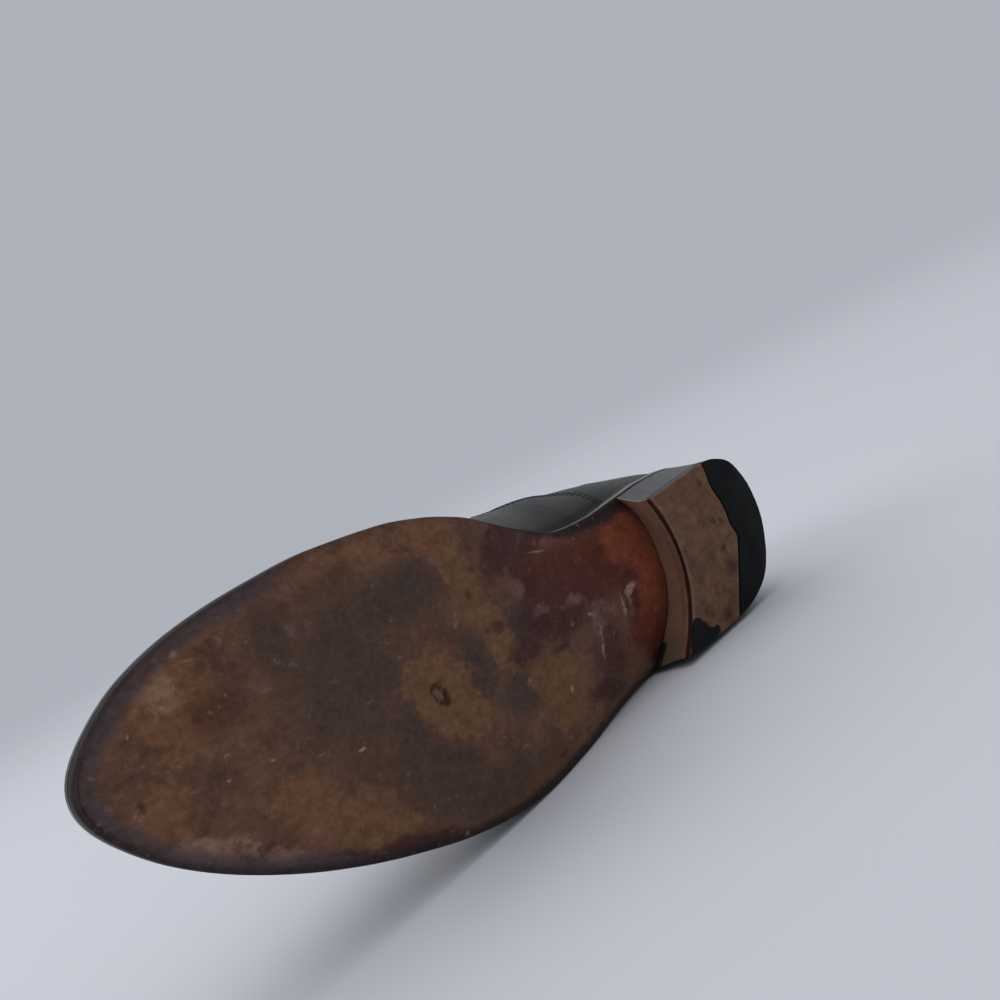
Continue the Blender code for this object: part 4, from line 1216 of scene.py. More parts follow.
def last_normal(angle, v):
    """Outward normals of the last, level along the feather line."""
    angle, v = np.broadcast_arrays(np.asarray(angle, float), np.asarray(v, float))
    step = 2e-3
    along = last_point(angle + step, v) - last_point(angle - step, v)
    rise = last_point(angle, np.minimum(v + step, 1)) - last_point(angle, np.maximum(v - step, 0))
    normal = np.cross(rise, along)
    normal[..., 2] *= ease(v, 0, 0.05)
    top_x = crown_x(abs(signed(angle)))
    crown = np.stack([crown_z(top_x - MM) - crown_z(top_x + MM), 0 * top_x, 0 * top_x + 2 * MM], axis=-1)
    return unit(np.where((v > 1 - step)[..., None], crown, normal))


SHARE_HALVINGS = 36


def share_where(angle, measure):
    """The share of each section at which measure(point) first stops being negative."""
    low, high = np.zeros_like(angle), np.ones_like(angle)
    starts = measure(last_point(angle, 0 * angle)) >= 0
    never = measure(last_point(angle, 0 * angle + 1)) < 0
    for _ in range(SHARE_HALVINGS):
        middle = (low + high) / 2
        below = measure(last_point(angle, middle)) < 0
        low, high = np.where(below, middle, low), np.where(below, high, middle)
    return np.where(starts, 0.0, np.where(never, 1.0, high))


def collar_share(angle):
    """Where a section ends: at the collar, beside the throat or on the crown."""
    station = station_of(abs(signed(angle)))
    inner_side = signed(angle) >= 0
    gap_share = np.clip((THROAT_BASE - station) / (THROAT_BASE - FACING_TOP), 0, 1)

    def over_collar(p):
        return p[..., 2] - np.where(inner_side, inner_topline(p[..., 0]), outer_topline(p[..., 0]))

    def in_throat(p):
        return THROAT_GAP * gap_share - abs(p[..., 1] - crown_y(p[..., 0]))

    collar = np.where(station >= FACING_TOP, 1.0, share_where(angle, over_collar))
    laced = (station > BACK_OF_FACINGS) & (station < THROAT_BASE)
    throat = np.where(laced, share_where(angle, in_throat), 1.0)
    return np.minimum(collar, throat)


def seam_share(angle):
    """How much of a section, from the feather line up, the vamp covers."""
    station = station_of(abs(signed(angle)))
    share = share_where(angle, lambda p: p[..., 2] - seam_height(p[..., 0]))
    return np.where(station <= SEAM_FOOT, 0.0, np.where(station >= THROAT_BASE, 1.0, share))


# Creases of walking across the vamp, in plan, as soft troughs between ridges
VAMP_CREASES = np.array([
    # outer x, outer y, middle x, inner x, inner y, depth, half width
    (176, -46, 190, 194, 37, 1.0, 2.6),
    (185, -49, 200, 205, 42, 1.5, 2.8),
    (196, -47, 209, 215, 42, 1.2, 2.6),
    (207, -43, 218, 226, 38, 0.7, 2.2),
    (169, -40, 181, 183, 12, 0.6, 2.0),
]) * MM

# Folds in the quarters, in side view, where the leather gives at the waist and below the ankle
QUARTER_FOLDS = np.array([
    # side, from x, from z, to x, to z, depth, half width
    (1, 96, 52, 66, 78, 1.5, 4.0),
    (1, 112, 56, 84, 84, 1.3, 3.6),
    (1, 128, 64, 104, 90, 0.8, 3.0),
    (1, 58, 52, 40, 76, 0.7, 3.4),
    (-1, 100, 50, 72, 74, 1.3, 4.0),
    (-1, 120, 58, 92, 82, 1.1, 3.6),
    (-1, 60, 48, 38, 66, 0.7, 3.4),
]) * np.array([1, MM, MM, MM, MM, MM, MM])


def trough(distance, depth, half_width):
    """A soft trough with a low ridge on both sides."""
    t = distance / half_width
    return depth * (0.45 * np.exp(-((abs(t) - 2.0) ** 2)) - np.exp(-(t**2)))


WANDER_PATCH, WANDER_REACH = 16 * MM, 7 * MM
UNEVEN_PATCH, UNEVEN_HEIGHT = 26 * MM, 0.35 * MM
CREASE_ENDS = 0.22
CREASES_FROM, CREASES_FULL = 14 * MM, 26 * MM


def creases(points, side):
    """How far the leather stands off the last: walking creases, folds and slight unevenness."""
    x, y, z = points[..., 0], points[..., 1], points[..., 2]
    wander = (clouds(points, WANDER_PATCH, 2) - 0.5) * WANDER_REACH
    total = UNEVEN_HEIGHT * (clouds(points, UNEVEN_PATCH, 2) - 0.5)
    for outer_x, outer_y, middle_x, inner_x, inner_y, depth, width in VAMP_CREASES:
        t = (y - outer_y) / (inner_y - outer_y)
        bow = 2 * middle_x - (outer_x + inner_x) / 2
        line = outer_x * (1 - t) ** 2 + 2 * bow * t * (1 - t) + inner_x * t**2
        fade = ease(t, 0, CREASE_ENDS) * ease(1 - t, 0, CREASE_ENDS) * ease(z, CREASES_FROM, CREASES_FULL)
        total = total + fade * trough(x - line + wander, depth, width)
    for fold_side, from_x, from_z, to_x, to_z, depth, width in QUARTER_FOLDS:
        along = np.array([to_x - from_x, to_z - from_z])
        length = np.linalg.norm(along)
        along = along / length
        way = ((x - from_x) * along[0] + (z - from_z) * along[1]) / length
        off = (z - from_z) * along[0] - (x - from_x) * along[1]
        fade = ease(way, -0.1, 0.35) * ease(1 - way, -0.1, 0.35)
        total = total + np.where(side == fold_side, fade * trough(off + wander, depth, width), 0)
    return total


def skin(angle, v, proud):
    """Points of a leather sheet on the last, creased, standing this far proud of it."""
    points = last_point(angle, v)
    side = np.where(signed(angle) >= 0, 1, -1)
    return points + last_normal(angle, v) * (proud + creases(points, side))[..., None]


def leather_sheet(name, angles, v, proud, round_rows=False):
    """A leather sheet on the last that faces outwards."""
    outward = last_normal(angles[:1], v[:1, 0])[0]
    return loft(name, skin(angles[:, None], v, proud), round_rows=round_rows, outward=outward)


RIM_ANGLE = 55


def give_thickness(piece, thickness, rounding):
    """Turns a sheet into a wall behind its face and rounds the wall's rim."""
    pick(piece)
    wall = piece.modifiers.new("wall", "SOLIDIFY")
    wall.thickness = thickness
    wall.offset = -1
    wall.use_even_offset = False
    bpy.ops.object.modifier_apply(modifier="wall")
    rim = piece.modifiers.new("rim", "BEVEL")
    rim.width = rounding
    rim.segments = 2
    rim.limit_method = "ANGLE"
    rim.angle_limit = math.radians(RIM_ANGLE)
    bpy.ops.object.modifier_apply(modifier="rim")


quarter_end = turn_of(THROAT_BASE - 0.5 * MM)
quarter_angles = np.linspace(-quarter_end, quarter_end, QUARTER_ROWS)
quarter_top = collar_share(quarter_angles)
quarter_foot = np.clip(seam_share(quarter_angles) - UNDERLAP_SHARE, 0, None)
quarter_step = np.linspace(0, 1, QUARTER_COLUMNS)[None, :]
quarter_v = quarter_foot[:, None] + (quarter_top - quarter_foot)[:, None] * quarter_step
quarters = leather_sheet("quarters", quarter_angles, quarter_v, 0.0)
give_thickness(quarters, CALF_THICKNESS, CALF_ROUNDING)

LINING_ROWS = 300
LINING_COLUMNS = 48
LINING_DEPTH = 1.3 * MM
LINING_THICKNESS = 0.8 * MM
LINING_ROUNDING = 0.2 * MM
LINING_SHORT = 0.004
lining_angles = np.linspace(-math.pi, math.pi, LINING_ROWS, endpoint=False)
lining_top = collar_share(lining_angles)
short_of_edge = np.where(lining_top < 1, LINING_SHORT, 0.0)
lining_v = (lining_top - short_of_edge)[:, None] * np.linspace(0, 1, LINING_COLUMNS)[None, :]
lining = leather_sheet("lining", lining_angles, lining_v, -LINING_DEPTH, round_rows=True)
give_thickness(lining, LINING_THICKNESS, LINING_ROUNDING)

# Eyelets: five pairs of punched holes along the facings
EYELET_DIAMETER = 4.6 * MM
EYELET_INSET = 11.0 * MM
EYELET_STATIONS = np.linspace(163, 122, 5) * MM
PUNCH_LENGTH = 12 * MM
PUNCH_SIDES = 28


def facing_point(side, x, distance, depth):
    """Points over the facing: at this distance from the crown line, this far off the last."""
    angle, distance, depth = np.broadcast_arrays(side * turn_of(x), distance, depth)
    share = share_where(angle, lambda p: distance - abs(p[..., 1] - crown_y(p[..., 0])))
    return last_point(angle, share) + last_normal(angle, share) * depth[..., None]


bpy.ops.object.select_all(action="DESELECT")
punches = []
for x in EYELET_STATIONS:
    for side in (1, -1):
        foot = facing_point(side, x, EYELET_INSET, -PUNCH_LENGTH / 2)
        head = facing_point(side, x, EYELET_INSET, PUNCH_LENGTH / 2)
        bpy.ops.mesh.primitive_cylinder_add(
            vertices=PUNCH_SIDES,
            radius=EYELET_DIAMETER / 2,
            depth=PUNCH_LENGTH,
            location=(foot + head) / 2,
            rotation=Vector(head - foot).to_track_quat("Z", "Y").to_euler(),
        )
        punches.append(bpy.context.object)
for punch in punches:
    punch.select_set(True)
bpy.ops.object.join()
punch = bpy.context.object
bpy.ops.object.transform_apply(location=True, rotation=True, scale=True)
for sheet in (quarters, lining):
    pick(sheet)
    cut = sheet.modifiers.new("eyelets", "BOOLEAN")
    cut.operation = "DIFFERENCE"
    cut.object = punch
    cut.solver = "MANIFOLD"
    bpy.ops.object.modifier_apply(modifier="eyelets")
bpy.data.objects.remove(punch)

# The lining is grimy along its rim, with a rusty stain at the heel
GRIME_DEPTH, GRIME_SHARE = 9 * MM, 0.75
HEEL_STAIN = np.array([12, 6, 66]) * MM
STAIN_CORE, STAIN_REACH = 8 * MM, 22 * MM
lining_corners = corners(lining)
lining_x, lining_y, lining_z = lining_corners.T
lining_rim = np.where(lining_y > 0, inner_topline(lining_x), outer_topline(lining_x))
grime = GRIME_SHARE * (1 - ease(lining_rim - lining_z, 0, GRIME_DEPTH))
from_stain = np.linalg.norm(lining_corners - HEEL_STAIN, axis=1)
mark(lining, "grime", np.maximum(grime, 1 - ease(from_stain, STAIN_CORE, STAIN_REACH)))

# Black calf: smooth box calf with a tight grain, wax polished to a satin shine that is cloudy, and
# dull and near black along the vamp's edge: painted shade in the step under the vamp's edge.
calf = new_material("polished black box calf")
place = node(calf, "ShaderNodeAttribute", attribute_name="shoe", out="Vector")
# Grain of 1.1 mm, drawn coarser than real so that it shows; wrinkles of 4 mm; polish clouds of 18 mm
grain = node(calf, "ShaderNodeTexVoronoi", {"Vector": place, "Scale": 1 / (1.1 * MM)},
             feature="SMOOTH_F1", out="Distance")
wrinkle = node(calf, "ShaderNodeTexNoise",
               {"Vector": place, "Scale": 1 / (4 * MM), "Detail": 6, "Roughness": 0.6,
                "Distortion": 0.6})
polish = node(calf, "ShaderNodeTexNoise",
              {"Vector": place, "Scale": 1 / (18 * MM), "Detail": 4, "Roughness": 0.55})
tone = node(calf, "ShaderNodeMix", {0: polish, 6: colour("#0d0d10"), 7: colour("#1a1a1e")},
            data_type="RGBA", out=2)
seam_edge_and_shade = node(calf, "ShaderNodeAttribute", attribute_name="seam_edge_and_shade", out="Fac")
tone = node(calf, "ShaderNodeMix", {0: seam_edge_and_shade, 6: tone, 7: colour("#040405")}, data_type="RGBA", out=2)
mixed = node(calf, "ShaderNodeMath", {0: polish, 1: wrinkle}, operation="MULTIPLY")
rough = node(calf, "ShaderNodeMapRange",
             {"Value": mixed, "From Min": 0.12, "From Max": 0.4, "To Min": 0.3, "To Max": 0.48})
rough = node(calf, "ShaderNodeMix", {0: seam_edge_and_shade, 2: rough, 3: 0.95}, data_type="FLOAT")
wrinkled = node(calf, "ShaderNodeMath", {0: wrinkle, 1: 0.6, 2: grain}, operation="MULTIPLY_ADD")
bump = node(calf, "ShaderNodeBump", {"Height": wrinkled, "Strength": 0.22, "Distance": 0.22 * MM})
surface(calf, {
    "Base Color": tone, "Roughness": rough, "Normal": bump, "IOR": 1.5, "Specular IOR Level": 0.28,
    "Coat Weight": 0.08, "Coat Roughness": 0.22,
})

# Painted shade on the quarters: dull and near black in the step just above the vamp's edge
quarter_x, _, quarter_z = corners(quarters).T
under_vamp = 1 - ease(quarter_z - seam_height(quarter_x), *SEAM_SHADE)
ahead_of_foot = ease(quarter_x, SEAM_FOOT - SEAM_FADE, SEAM_FOOT + SEAM_FADE)
mark(quarters, "seam_edge_and_shade", under_vamp * ahead_of_foot)
lay_down(quarters, calf)
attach(quarters, "root")
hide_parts("upper")
lay_down(lining, glove_leather("cream lining leather", ("#b9a587", "#d8c6a8"), "#8a5a30", "grime"))
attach(lining, "root")
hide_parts("upper")

# Vamp
# The front panel of black calf, lasted over the toe. Its back edge laps over the quarters along the
# waist and up to the foot of the lacing, and it is creased across the ball by walking.

VAMP_ROWS = 460
VAMP_COLUMNS = 60
VAMP_ROUNDING = 0.35 * MM
CUT_EDGE = 0.5 * MM, 1.4 * MM
# A place on the inner side, well inside the sheet, that tells which way it faces
PROBE_ROW, PROBE_COLUMN = 115, 30

vamp_start = turn_of(SEAM_FOOT + 0.6 * MM)
vamp_angles = np.linspace(vamp_start, 2 * math.pi - vamp_start, VAMP_ROWS)
vamp_top = seam_share(vamp_angles)
vamp_v = vamp_top[:, None] * np.linspace(0, 1, VAMP_COLUMNS)[None, :]
vamp_points = skin(vamp_angles[:, None], vamp_v, VAMP_STEP)
vamp = loft("vamp", vamp_points)
outward = Vector(last_normal(vamp_angles[PROBE_ROW], vamp_v[PROBE_ROW, PROBE_COLUMN]))
hit = vamp.closest_point_on_mesh(Vector(vamp_points[PROBE_ROW, PROBE_COLUMN]))
if hit[2].dot(outward) < 0:
    vamp.data.flip_normals()
give_thickness(vamp, CALF_THICKNESS, VAMP_ROUNDING)
# The cut edge along the seam is dull black, with painted shade along the seam's line
vamp_x, _, vamp_z = corners(vamp).T
mark(vamp, "seam_edge_and_shade", 1 - ease(seam_height(vamp_x) - vamp_z, *CUT_EDGE))
lay_down(vamp, calf)
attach(vamp, "root")
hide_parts("upper")

# Back strip
# A short strip of calf sewn over the top of the back seam, as high as the collar.

BACK_STRIP_THICKNESS = 1.1 * MM
STRIP_ROUNDING = 0.35 * MM
STRIP_HALF_TURN = 0.10
STRIP_FOOT = 0.70
STRIP_JOINT = 0.05 * MM
STRIP_ROWS = 40
STRIP_COLUMNS = 50

strip_angles = np.linspace(-STRIP_HALF_TURN, STRIP_HALF_TURN, STRIP_ROWS)
strip_v = collar_share(strip_angles)[:, None] * np.linspace(STRIP_FOOT, 1, STRIP_COLUMNS)[None, :]
strip = leather_sheet("back_tab", strip_angles, strip_v, BACK_STRIP_THICKNESS + STRIP_JOINT)
give_thickness(strip, BACK_STRIP_THICKNESS, STRIP_ROUNDING)
lay_down(strip, calf)
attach(strip, "root")
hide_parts("back_strip")

# Tongue
# A tongue of soft calf under the facings, sewn to the vamp at its front end.

TONGUE_THICKNESS = 1.6 * MM
TONGUE_ROUNDING = 0.4 * MM
TONGUE_FROM, TONGUE_TO = 100 * MM, 184 * MM
TONGUE_HALF_WIDTH = 22 * MM
TONGUE_CORNER = 9 * MM
TONGUE_END_SHARE = 0.72
TONGUE_ROWS = 60
TONGUE_COLUMNS = 41
OFF_MIDDLE = 0.05 * MM
LACE_DIAMETER = 2.2 * MM
room_for_lace = LACE_DIAMETER + 2 * GAP

tongue_x = np.linspace(TONGUE_FROM, TONGUE_TO, TONGUE_ROWS)[:, None]
tongue_across = np.linspace(1, -1, TONGUE_COLUMNS)[None, :]
tongue_side = np.where(tongue_across >= 0, 1, -1)
at_front = np.clip((tongue_x - THROAT_BASE) / (TONGUE_TO - THROAT_BASE), 0, 1)
tongue_depth = WALL + 1.5 * GAP + room_for_lace * (1 - at_front)
round_corner = np.sqrt(1 - (1 - np.clip((tongue_x - TONGUE_FROM) / TONGUE_CORNER, 0, 1)) ** 2)
tongue_width = TONGUE_HALF_WIDTH * (TONGUE_END_SHARE + (1 - TONGUE_END_SHARE) * round_corner)
tongue_reach = np.maximum(tongue_width * abs(tongue_across), OFF_MIDDLE)
tongue_points = facing_point(tongue_side, tongue_x, tongue_reach, -tongue_depth)
tongue = loft("tongue_leather", tongue_points, outward=np.array([0, 0, 1.0]))
give_thickness(tongue, TONGUE_THICKNESS, TONGUE_ROUNDING)
lay_down(tongue, calf)
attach(tongue, "root")
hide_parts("tongue")

# Laces
# One round braided cotton lace, waxed black, in straight bars across the facings. It climbs inside
# from bar to bar, and its ends stop inside, behind the first eyelet and the last.

LACE_SIDES = 16
LACE_STEP = 0.35 * MM
BRAID_PITCH = 3.2 * MM
BRAID_STRANDS = 4
BRAID_RELIEF = 0.05
IN_EYELET = 0.2
SPAN_POINTS = 12


def lace_route():
    """Points that the lace passes, from the lowest eyelet to the highest."""
    over, under = LACE_DIAMETER / 2 + 2 * GAP, -(WALL + LACE_DIAMETER / 2 + GAP)
    route = []
    side = 1
    for x in EYELET_STATIONS:
        near, far = side, -side
        route.append(facing_point(near, x, EYELET_INSET, under))
        route.append(facing_point(near, x, EYELET_INSET, over * IN_EYELET))
        for hand, share in ((near, 0.7), (near, 0.3), (far, 0.3), (far, 0.7)):
            route.append(facing_point(hand, x, EYELET_INSET * share, over))
        route.append(facing_point(far, x, EYELET_INSET, over * IN_EYELET))
        route.append(facing_point(far, x, EYELET_INSET, under))
        side = far
    return route


def rounded_route(route, per_span):
    """Points of a smooth curve through the route (Catmull-Rom)."""
    route = [2 * route[0] - route[1], *route, 2 * route[-1] - route[-2]]
    points = []
    for a, b, c, d in zip(route, route[1:], route[2:], route[3:]):
        for t in np.arange(per_span) / per_span:
            points.append(
                0.5 * (2 * b + (c - a) * t + (2 * a - 5 * b + 4 * c - d) * t * t
                       + (3 * b - a - 3 * c + d) * t**3)
            )
    return np.array(points + [route[-2]])


def carried_frames(line):
    """Two directions across a line at each of its points, carried along without twist."""
    tangent = unit(np.gradient(line, axis=0))
    across_line = [unit(np.cross(tangent[0], (0.3, 0.2, 0.9)))]
    for direction in tangent[1:]:
        across_line.append(unit(across_line[-1] - direction * np.dot(across_line[-1], direction)))
    across_line = np.array(across_line)
    return across_line, np.cross(tangent, across_line)


lace_line = spaced(rounded_route(lace_route(), SPAN_POINTS), LACE_STEP)
across_line, over_line = carried_frames(lace_line)
lace_turns = np.linspace(0, 2 * math.pi, LACE_SIDES, endpoint=False)[None, :]
lace_way = (np.arange(len(lace_line)) * LACE_STEP)[:, None] / BRAID_PITCH * 2 * math.pi
braid = np.cos(BRAID_STRANDS * lace_turns + lace_way) * np.cos(BRAID_STRANDS * lace_turns - lace_way)
lace_radius = (LACE_DIAMETER / 2 * (1 - BRAID_RELIEF + BRAID_RELIEF * braid))[..., None]
lace_ring = across_line[:, None] * np.cos(lace_turns)[..., None]
lace_ring = lace_ring + over_line[:, None] * np.sin(lace_turns)[..., None]
lace_points = lace_line[:, None] + lace_ring * lace_radius
lace_ends = [np.broadcast_to(line, (1, LACE_SIDES, 3)) for line in (lace_line[0], lace_line[-1])]
lace_points = np.concatenate([lace_ends[0], lace_points, lace_ends[1]])
lace = loft("lace", lace_points, round_columns=True)

# Waxed cotton: dull black with a low sheen, its braid lighter where the wax has rubbed off.
cotton = new_material("waxed black cotton braid")
place = node(cotton, "ShaderNodeAttribute", attribute_name="shoe", out="Vector")
yarn = node(cotton, "ShaderNodeTexNoise",
            {"Vector": place, "Scale": 1 / (0.6 * MM), "Detail": 4, "Roughness": 0.6})
tone = node(cotton, "ShaderNodeMix", {0: yarn, 6: colour("#101012"), 7: colour("#2c2b2d")},
            data_type="RGBA", out=2)
rough = node(cotton, "ShaderNodeMapRange", {"Value": yarn, "To Min": 0.5, "To Max": 0.8})
bump = node(cotton, "ShaderNodeBump", {"Height": yarn, "Strength": 0.5, "Distance": 0.2 * MM})
surface(cotton, {"Base Color": tone, "Roughness": rough, "Normal": bump, "Sheen Weight": 0.2})
lay_down(lace, cotton)
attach(lace, "root")
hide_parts("laces")

# Stitching
# Lock-stitched waxed thread: two rows along the vamp's edge, one along the collar and the facings,
# one round the back strip, and the heavy row that holds the welt.

THREAD_PITCH = 2.5 * MM
THREAD_WIDTH = 0.36 * MM
WELT_THREAD_WIDTH = 0.9 * MM
STITCH_HALF = 0.4
VAMP_ROWS_IN = (1.8 * MM, 3.6 * MM)
COLLAR_ROW_IN = 2.2 * MM
WELT_ROW_SHARE, WELT_ROW_IN = 0.36, 0.4 * MM

# One stitch, 2 long and 1 thick: a little sausage whose ends dive into the leather
stitch_along = np.array([-1.0, -0.8, -0.4, 0.0, 0.4, 0.8, 1.0])
stitch_up = np.array([-0.6, -0.05, 0.15, 0.2, 0.15, -0.05, -0.6])
stitch_radius = np.array([0.3, 0.46, 0.5, 0.5, 0.5, 0.46, 0.3])
STITCH_SIDES = 6
stitch_turns = np.linspace(0, 2 * math.pi, STITCH_SIDES, endpoint=False)


def stitch_row(line, carrier, pitch, width):
    """Vertices of a row of stitches along a line of the standing shoe, set on a laid piece."""
    laid = spaced(line @ np.array(LYING.to_3x3()).T + np.array(LYING.translation), pitch)
    hits = [carrier.closest_point_on_mesh(Vector(point)) for point in laid]
    spots = np.array([hit[1] for hit in hits])
    normal = np.array([hit[2] for hit in hits])
    along = np.gradient(spots, axis=0)
    along = unit(along - normal * np.sum(along * normal, axis=1, keepdims=True))
    sideways = np.cross(normal, along)
    way = (stitch_along * pitch * STITCH_HALF)[None, :, None, None] * along[:, None, None]
    ring = stitch_radius[:, None] * width
    lift = stitch_up[:, None] * width + ring * np.sin(stitch_turns)
    aside = ring * np.cos(stitch_turns)
    rows = spots[:, None, None] + way + lift[None, ..., None] * normal[:, None, None]
    return rows + aside[None, ..., None] * sideways[:, None, None]


def stitches(name, rows, material):
    """One piece from many rows of stitches; each stitch is a closed little tube."""
    every = np.concatenate(rows)
    count, rings, sides = every.shape[:3]
    faces = []
    for k in range(count):
        first = k * rings * sides
        for r in range(rings - 1):
            for s in range(sides):
                a, b = first + r * sides + s, first + r * sides + (s + 1) % sides
                faces.append((a, b, b + sides, a + sides))
        faces.append(tuple(first + s for s in range(sides))[::-1])
        faces.append(tuple(first + (rings - 1) * sides + s for s in range(sides)))
    mesh = bpy.data.meshes.new(name)
    mesh.from_pydata(every.reshape(-1, 3).tolist(), [], faces)
    piece = bpy.data.objects.new(name, mesh)
    bpy.context.scene.collection.objects.link(piece)
    pick(piece)
    bpy.ops.object.mode_set(mode="EDIT")
    bpy.ops.mesh.select_all(action="SELECT")
    bpy.ops.mesh.normals_make_consistent(inside=False)
    bpy.ops.object.mode_set(mode="OBJECT")
    bpy.ops.object.shade_smooth_by_angle(angle=math.radians(60))
    mesh.materials.append(material)
    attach(piece, "root")


# Waxed linen thread: half matt and twisted, nearly black on the upper and dark brown along the welt.
def waxed_thread(name, dark, light):
    material = new_material(name)
    where = node(material, "ShaderNodeTexCoord", out="Object")
    twist = node(material, "ShaderNodeTexNoise",
                 {"Vector": where, "Scale": 1 / (0.8 * MM), "Detail": 4})
    thread_tone = node(material, "ShaderNodeMix", {0: twist, 6: colour(dark), 7: colour(light)},
                       data_type="RGBA", out=2)
    thread_rough = node(material, "ShaderNodeMapRange",
                        {"Value": twist, "To Min": 0.45, "To Max": 0.75})
    thread_bump = node(material, "ShaderNodeBump",
                       {"Height": twist, "Strength": 0.4, "Distance": 0.2 * MM})
    surface(material, {"Base Color": thread_tone, "Roughness": thread_rough, "Normal": thread_bump})
    return material


def beside(line, normals, distance):
    """A line on the leather moved to its left by a distance, seen from outside."""
    return line + unit(np.cross(normals, np.gradient(line, axis=0))) * distance


# Each row stops a little short of the ends of its edge
seam_angles = np.linspace(turn_of(SEAM_FOOT + 2.5 * MM), turn_of(THROAT_BASE - 2 * MM), 300)
upper_rows = []
for side in (1, -1):
    edge_v = seam_share(side * seam_angles)
    edge_line = last_point(side * seam_angles, edge_v)
    edge_normal = last_normal(side * seam_angles, edge_v)
    for distance in VAMP_ROWS_IN:
        guide = beside(edge_line, edge_normal, side * distance) + edge_normal * VAMP_STEP
        upper_rows.append(stitch_row(guide, vamp, THREAD_PITCH, THREAD_WIDTH))

facing_angles = np.linspace(turn_of(FACING_TOP + 2 * MM), turn_of(THROAT_BASE - 8 * MM), 200)
collar_angles = np.linspace(turn_of(FACING_TOP - 6 * MM), -turn_of(FACING_TOP - 6 * MM), 500)
for line_angles, side in ((facing_angles, 1), (-facing_angles, -1), (collar_angles, -1)):
    edge_v = collar_share(line_angles)
    edge_line = last_point(line_angles, edge_v)
    edge_normal = last_normal(line_angles, np.minimum(edge_v, 0.99))
    guide = beside(edge_line, edge_normal, side * COLLAR_ROW_IN)
    upper_rows.append(stitch_row(guide, quarters, THREAD_PITCH, THREAD_WIDTH))

# The row on the back strip: down one side, along its foot and up the other side
ROW_HALF_TURN = STRIP_HALF_TURN - 0.018
ROW_FOOT, ROW_TOP = STRIP_FOOT + 0.012, 0.985
SIDE_STOPS, FOOT_STOPS = 40, 30
row_angles = np.concatenate([
    np.full(SIDE_STOPS, -ROW_HALF_TURN),
    np.linspace(-ROW_HALF_TURN, ROW_HALF_TURN, FOOT_STOPS),
    np.full(SIDE_STOPS, ROW_HALF_TURN),
])
row_shares = np.concatenate([
    np.linspace(ROW_TOP, ROW_FOOT, SIDE_STOPS),
    np.full(FOOT_STOPS, ROW_FOOT),
    np.linspace(ROW_FOOT, ROW_TOP, SIDE_STOPS),
])
strip_line = last_point(row_angles, row_shares * collar_share(row_angles))
upper_rows.append(stitch_row(strip_line, strip, THREAD_PITCH * 0.8, THREAD_WIDTH * 0.9))
stitches("upper_stitching", upper_rows, waxed_thread("waxed black thread", "#0c0c0e", "#222124"))

welt_from = turn_of(CRIMP_FROM + 8 * MM)
welt_line_angles = np.linspace(welt_from, 2 * math.pi - welt_from, 900)
welt_row_inset = WELT_ROW_SHARE * edge_margin(abs(signed(welt_line_angles))) + WELT_ROW_IN
welt_line = edge_point(welt_line_angles, welt_row_inset)
welt_line = raised(welt_line, feather_height(welt_line[:, 0]))
welt_row = stitch_row(welt_line, welt_piece, STITCH_PITCH, WELT_THREAD_WIDTH)
stitches("welt_stitching", [welt_row], waxed_thread("waxed brown thread", "#2a2320", "#554a42"))

# Studio
# A wide pale paper floor in even white light from all round, a softbox above the shoe and one behind
# it, and the camera at the angle from which the sole was seen.

FLOOR_SIZE = 90.0
FLOOR_CELLS = 30
bpy.ops.object.select_all(action="DESELECT")
bpy.ops.mesh.primitive_grid_add(x_subdivisions=FLOOR_CELLS, y_subdivisions=FLOOR_CELLS, size=FLOOR_SIZE)
floor = bpy.context.object
floor.name = "studio_floor"
paper = new_material("pale studio paper")
place = node(paper, "ShaderNodeTexCoord", out="Object")
pulp = node(paper, "ShaderNodeTexNoise", {"Vector": place, "Scale": 1 / (200 * MM), "Detail": 3})
tone = node(paper, "ShaderNodeMix", {0: pulp, 6: colour("#eaecf4"), 7: colour("#edeff6")},
            data_type="RGBA", out=2)
surface(paper, {"Base Color": tone, "Roughness": 1.0, "Specular IOR Level": 0.0})
floor.data.materials.append(paper)

bpy.context.scene.view_settings.view_transform = "Standard"
world = bpy.data.worlds.new("studio")
world.use_nodes = True
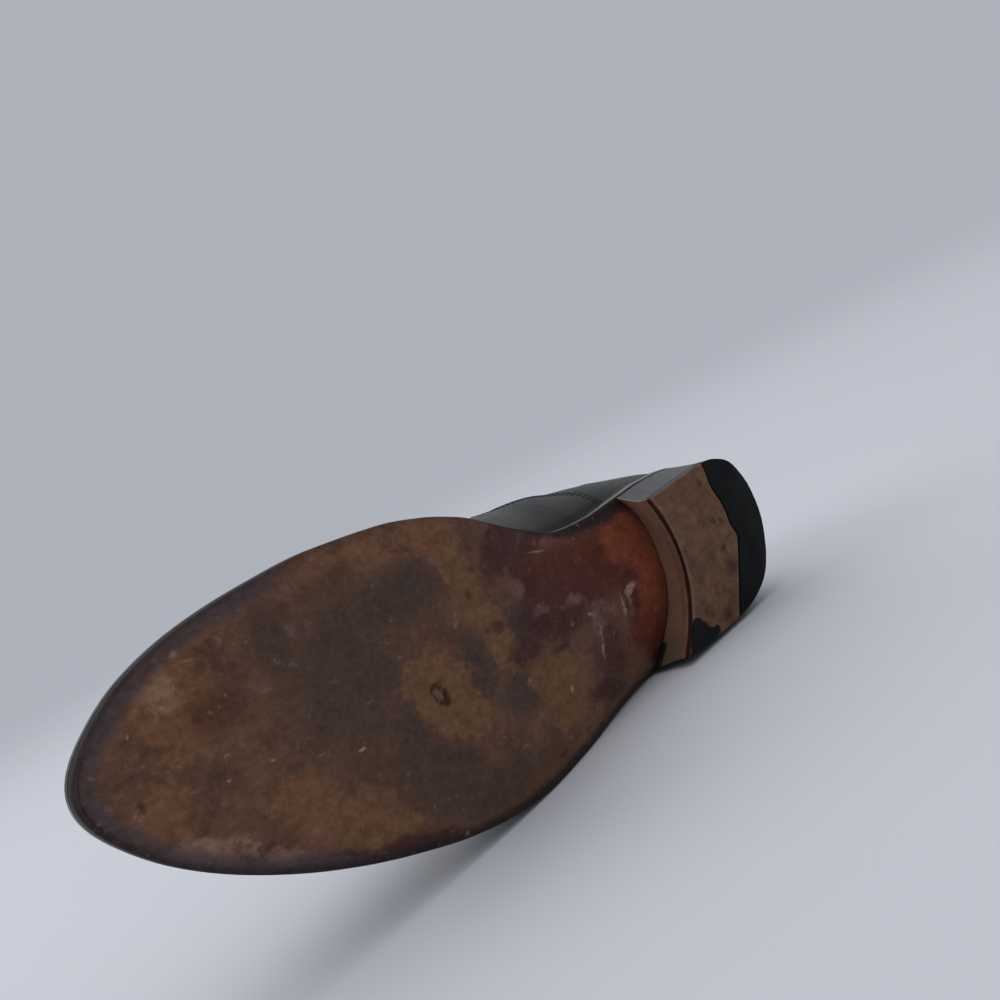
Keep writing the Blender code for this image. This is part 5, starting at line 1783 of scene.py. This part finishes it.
# Light from all round, strongest from overhead; behind the shoe the same pale tone as the floor
way = node(world, "ShaderNodeTexCoord", out="Generated")
overhead = node(world, "ShaderNodeVectorMath", {0: way, 1: (0.15, 0.2, 0.97)},
                operation="DOT_PRODUCT", out="Value")
glow = node(world, "ShaderNodeMapRange", {"Value": overhead, "To Min": 0.14, "To Max": 0.8})
lit = node(world, "ShaderNodeBackground", {"Color": colour("#f2f5fa"), "Strength": glow})
seen = node(world, "ShaderNodeBackground", {"Color": colour("#aeb2bb"), "Strength": 1.0})
straight = node(world, "ShaderNodeLightPath", out="Is Camera Ray")
both = node(world, "ShaderNodeMixShader", {0: straight, 1: lit, 2: seen})
feed(world, world.node_tree.nodes["World Output"], {"Surface": both})
bpy.context.scene.world = world


LIGHTS_AIM = Vector((0, 0, 0.04))


def soft_light(name, place, size, power):
    """A square softbox that faces the shoe."""
    bpy.ops.object.light_add(type="AREA", location=place)
    light = bpy.context.object
    light.name = name
    light.data.size = size
    light.data.energy = power
    light.rotation_euler = (LIGHTS_AIM - Vector(place)).to_track_quat("-Z", "Y").to_euler()


soft_light("softbox_above", (0.3, 0.3, 1.9), 1.8, 4)
soft_light("softbox_behind", (-1.1, 0.7, 0.8), 0.7, 4)

# The camera in the standing shoe's frame, carried over with the shoe
CAMERA_PLACE = (370.7, 38.3, -272.8)
CAMERA_VIEW = (-0.640, 0.018, 0.768)
CAMERA_UP = (-0.223, 0.952, -0.208)
SENSOR_WIDTH = 36
FOCAL_LENGTH = 36.124
NEAREST = 0.01
turned = LYING.to_3x3()
back = -(turned @ Vector(CAMERA_VIEW)).normalized()
right = (turned @ Vector(CAMERA_UP)).cross(back).normalized()
camera_place = LYING @ (Vector(CAMERA_PLACE) * MM)
camera_data = bpy.data.cameras.new("camera")
camera_data.sensor_width = SENSOR_WIDTH
camera_data.lens = FOCAL_LENGTH
camera_data.clip_start = NEAREST
camera = bpy.data.objects.new("camera", camera_data)
camera.matrix_world = Matrix((right, back.cross(right), back)).transposed().to_4x4()
camera.location = camera_place
bpy.context.scene.collection.objects.link(camera)
bpy.context.scene.camera = camera
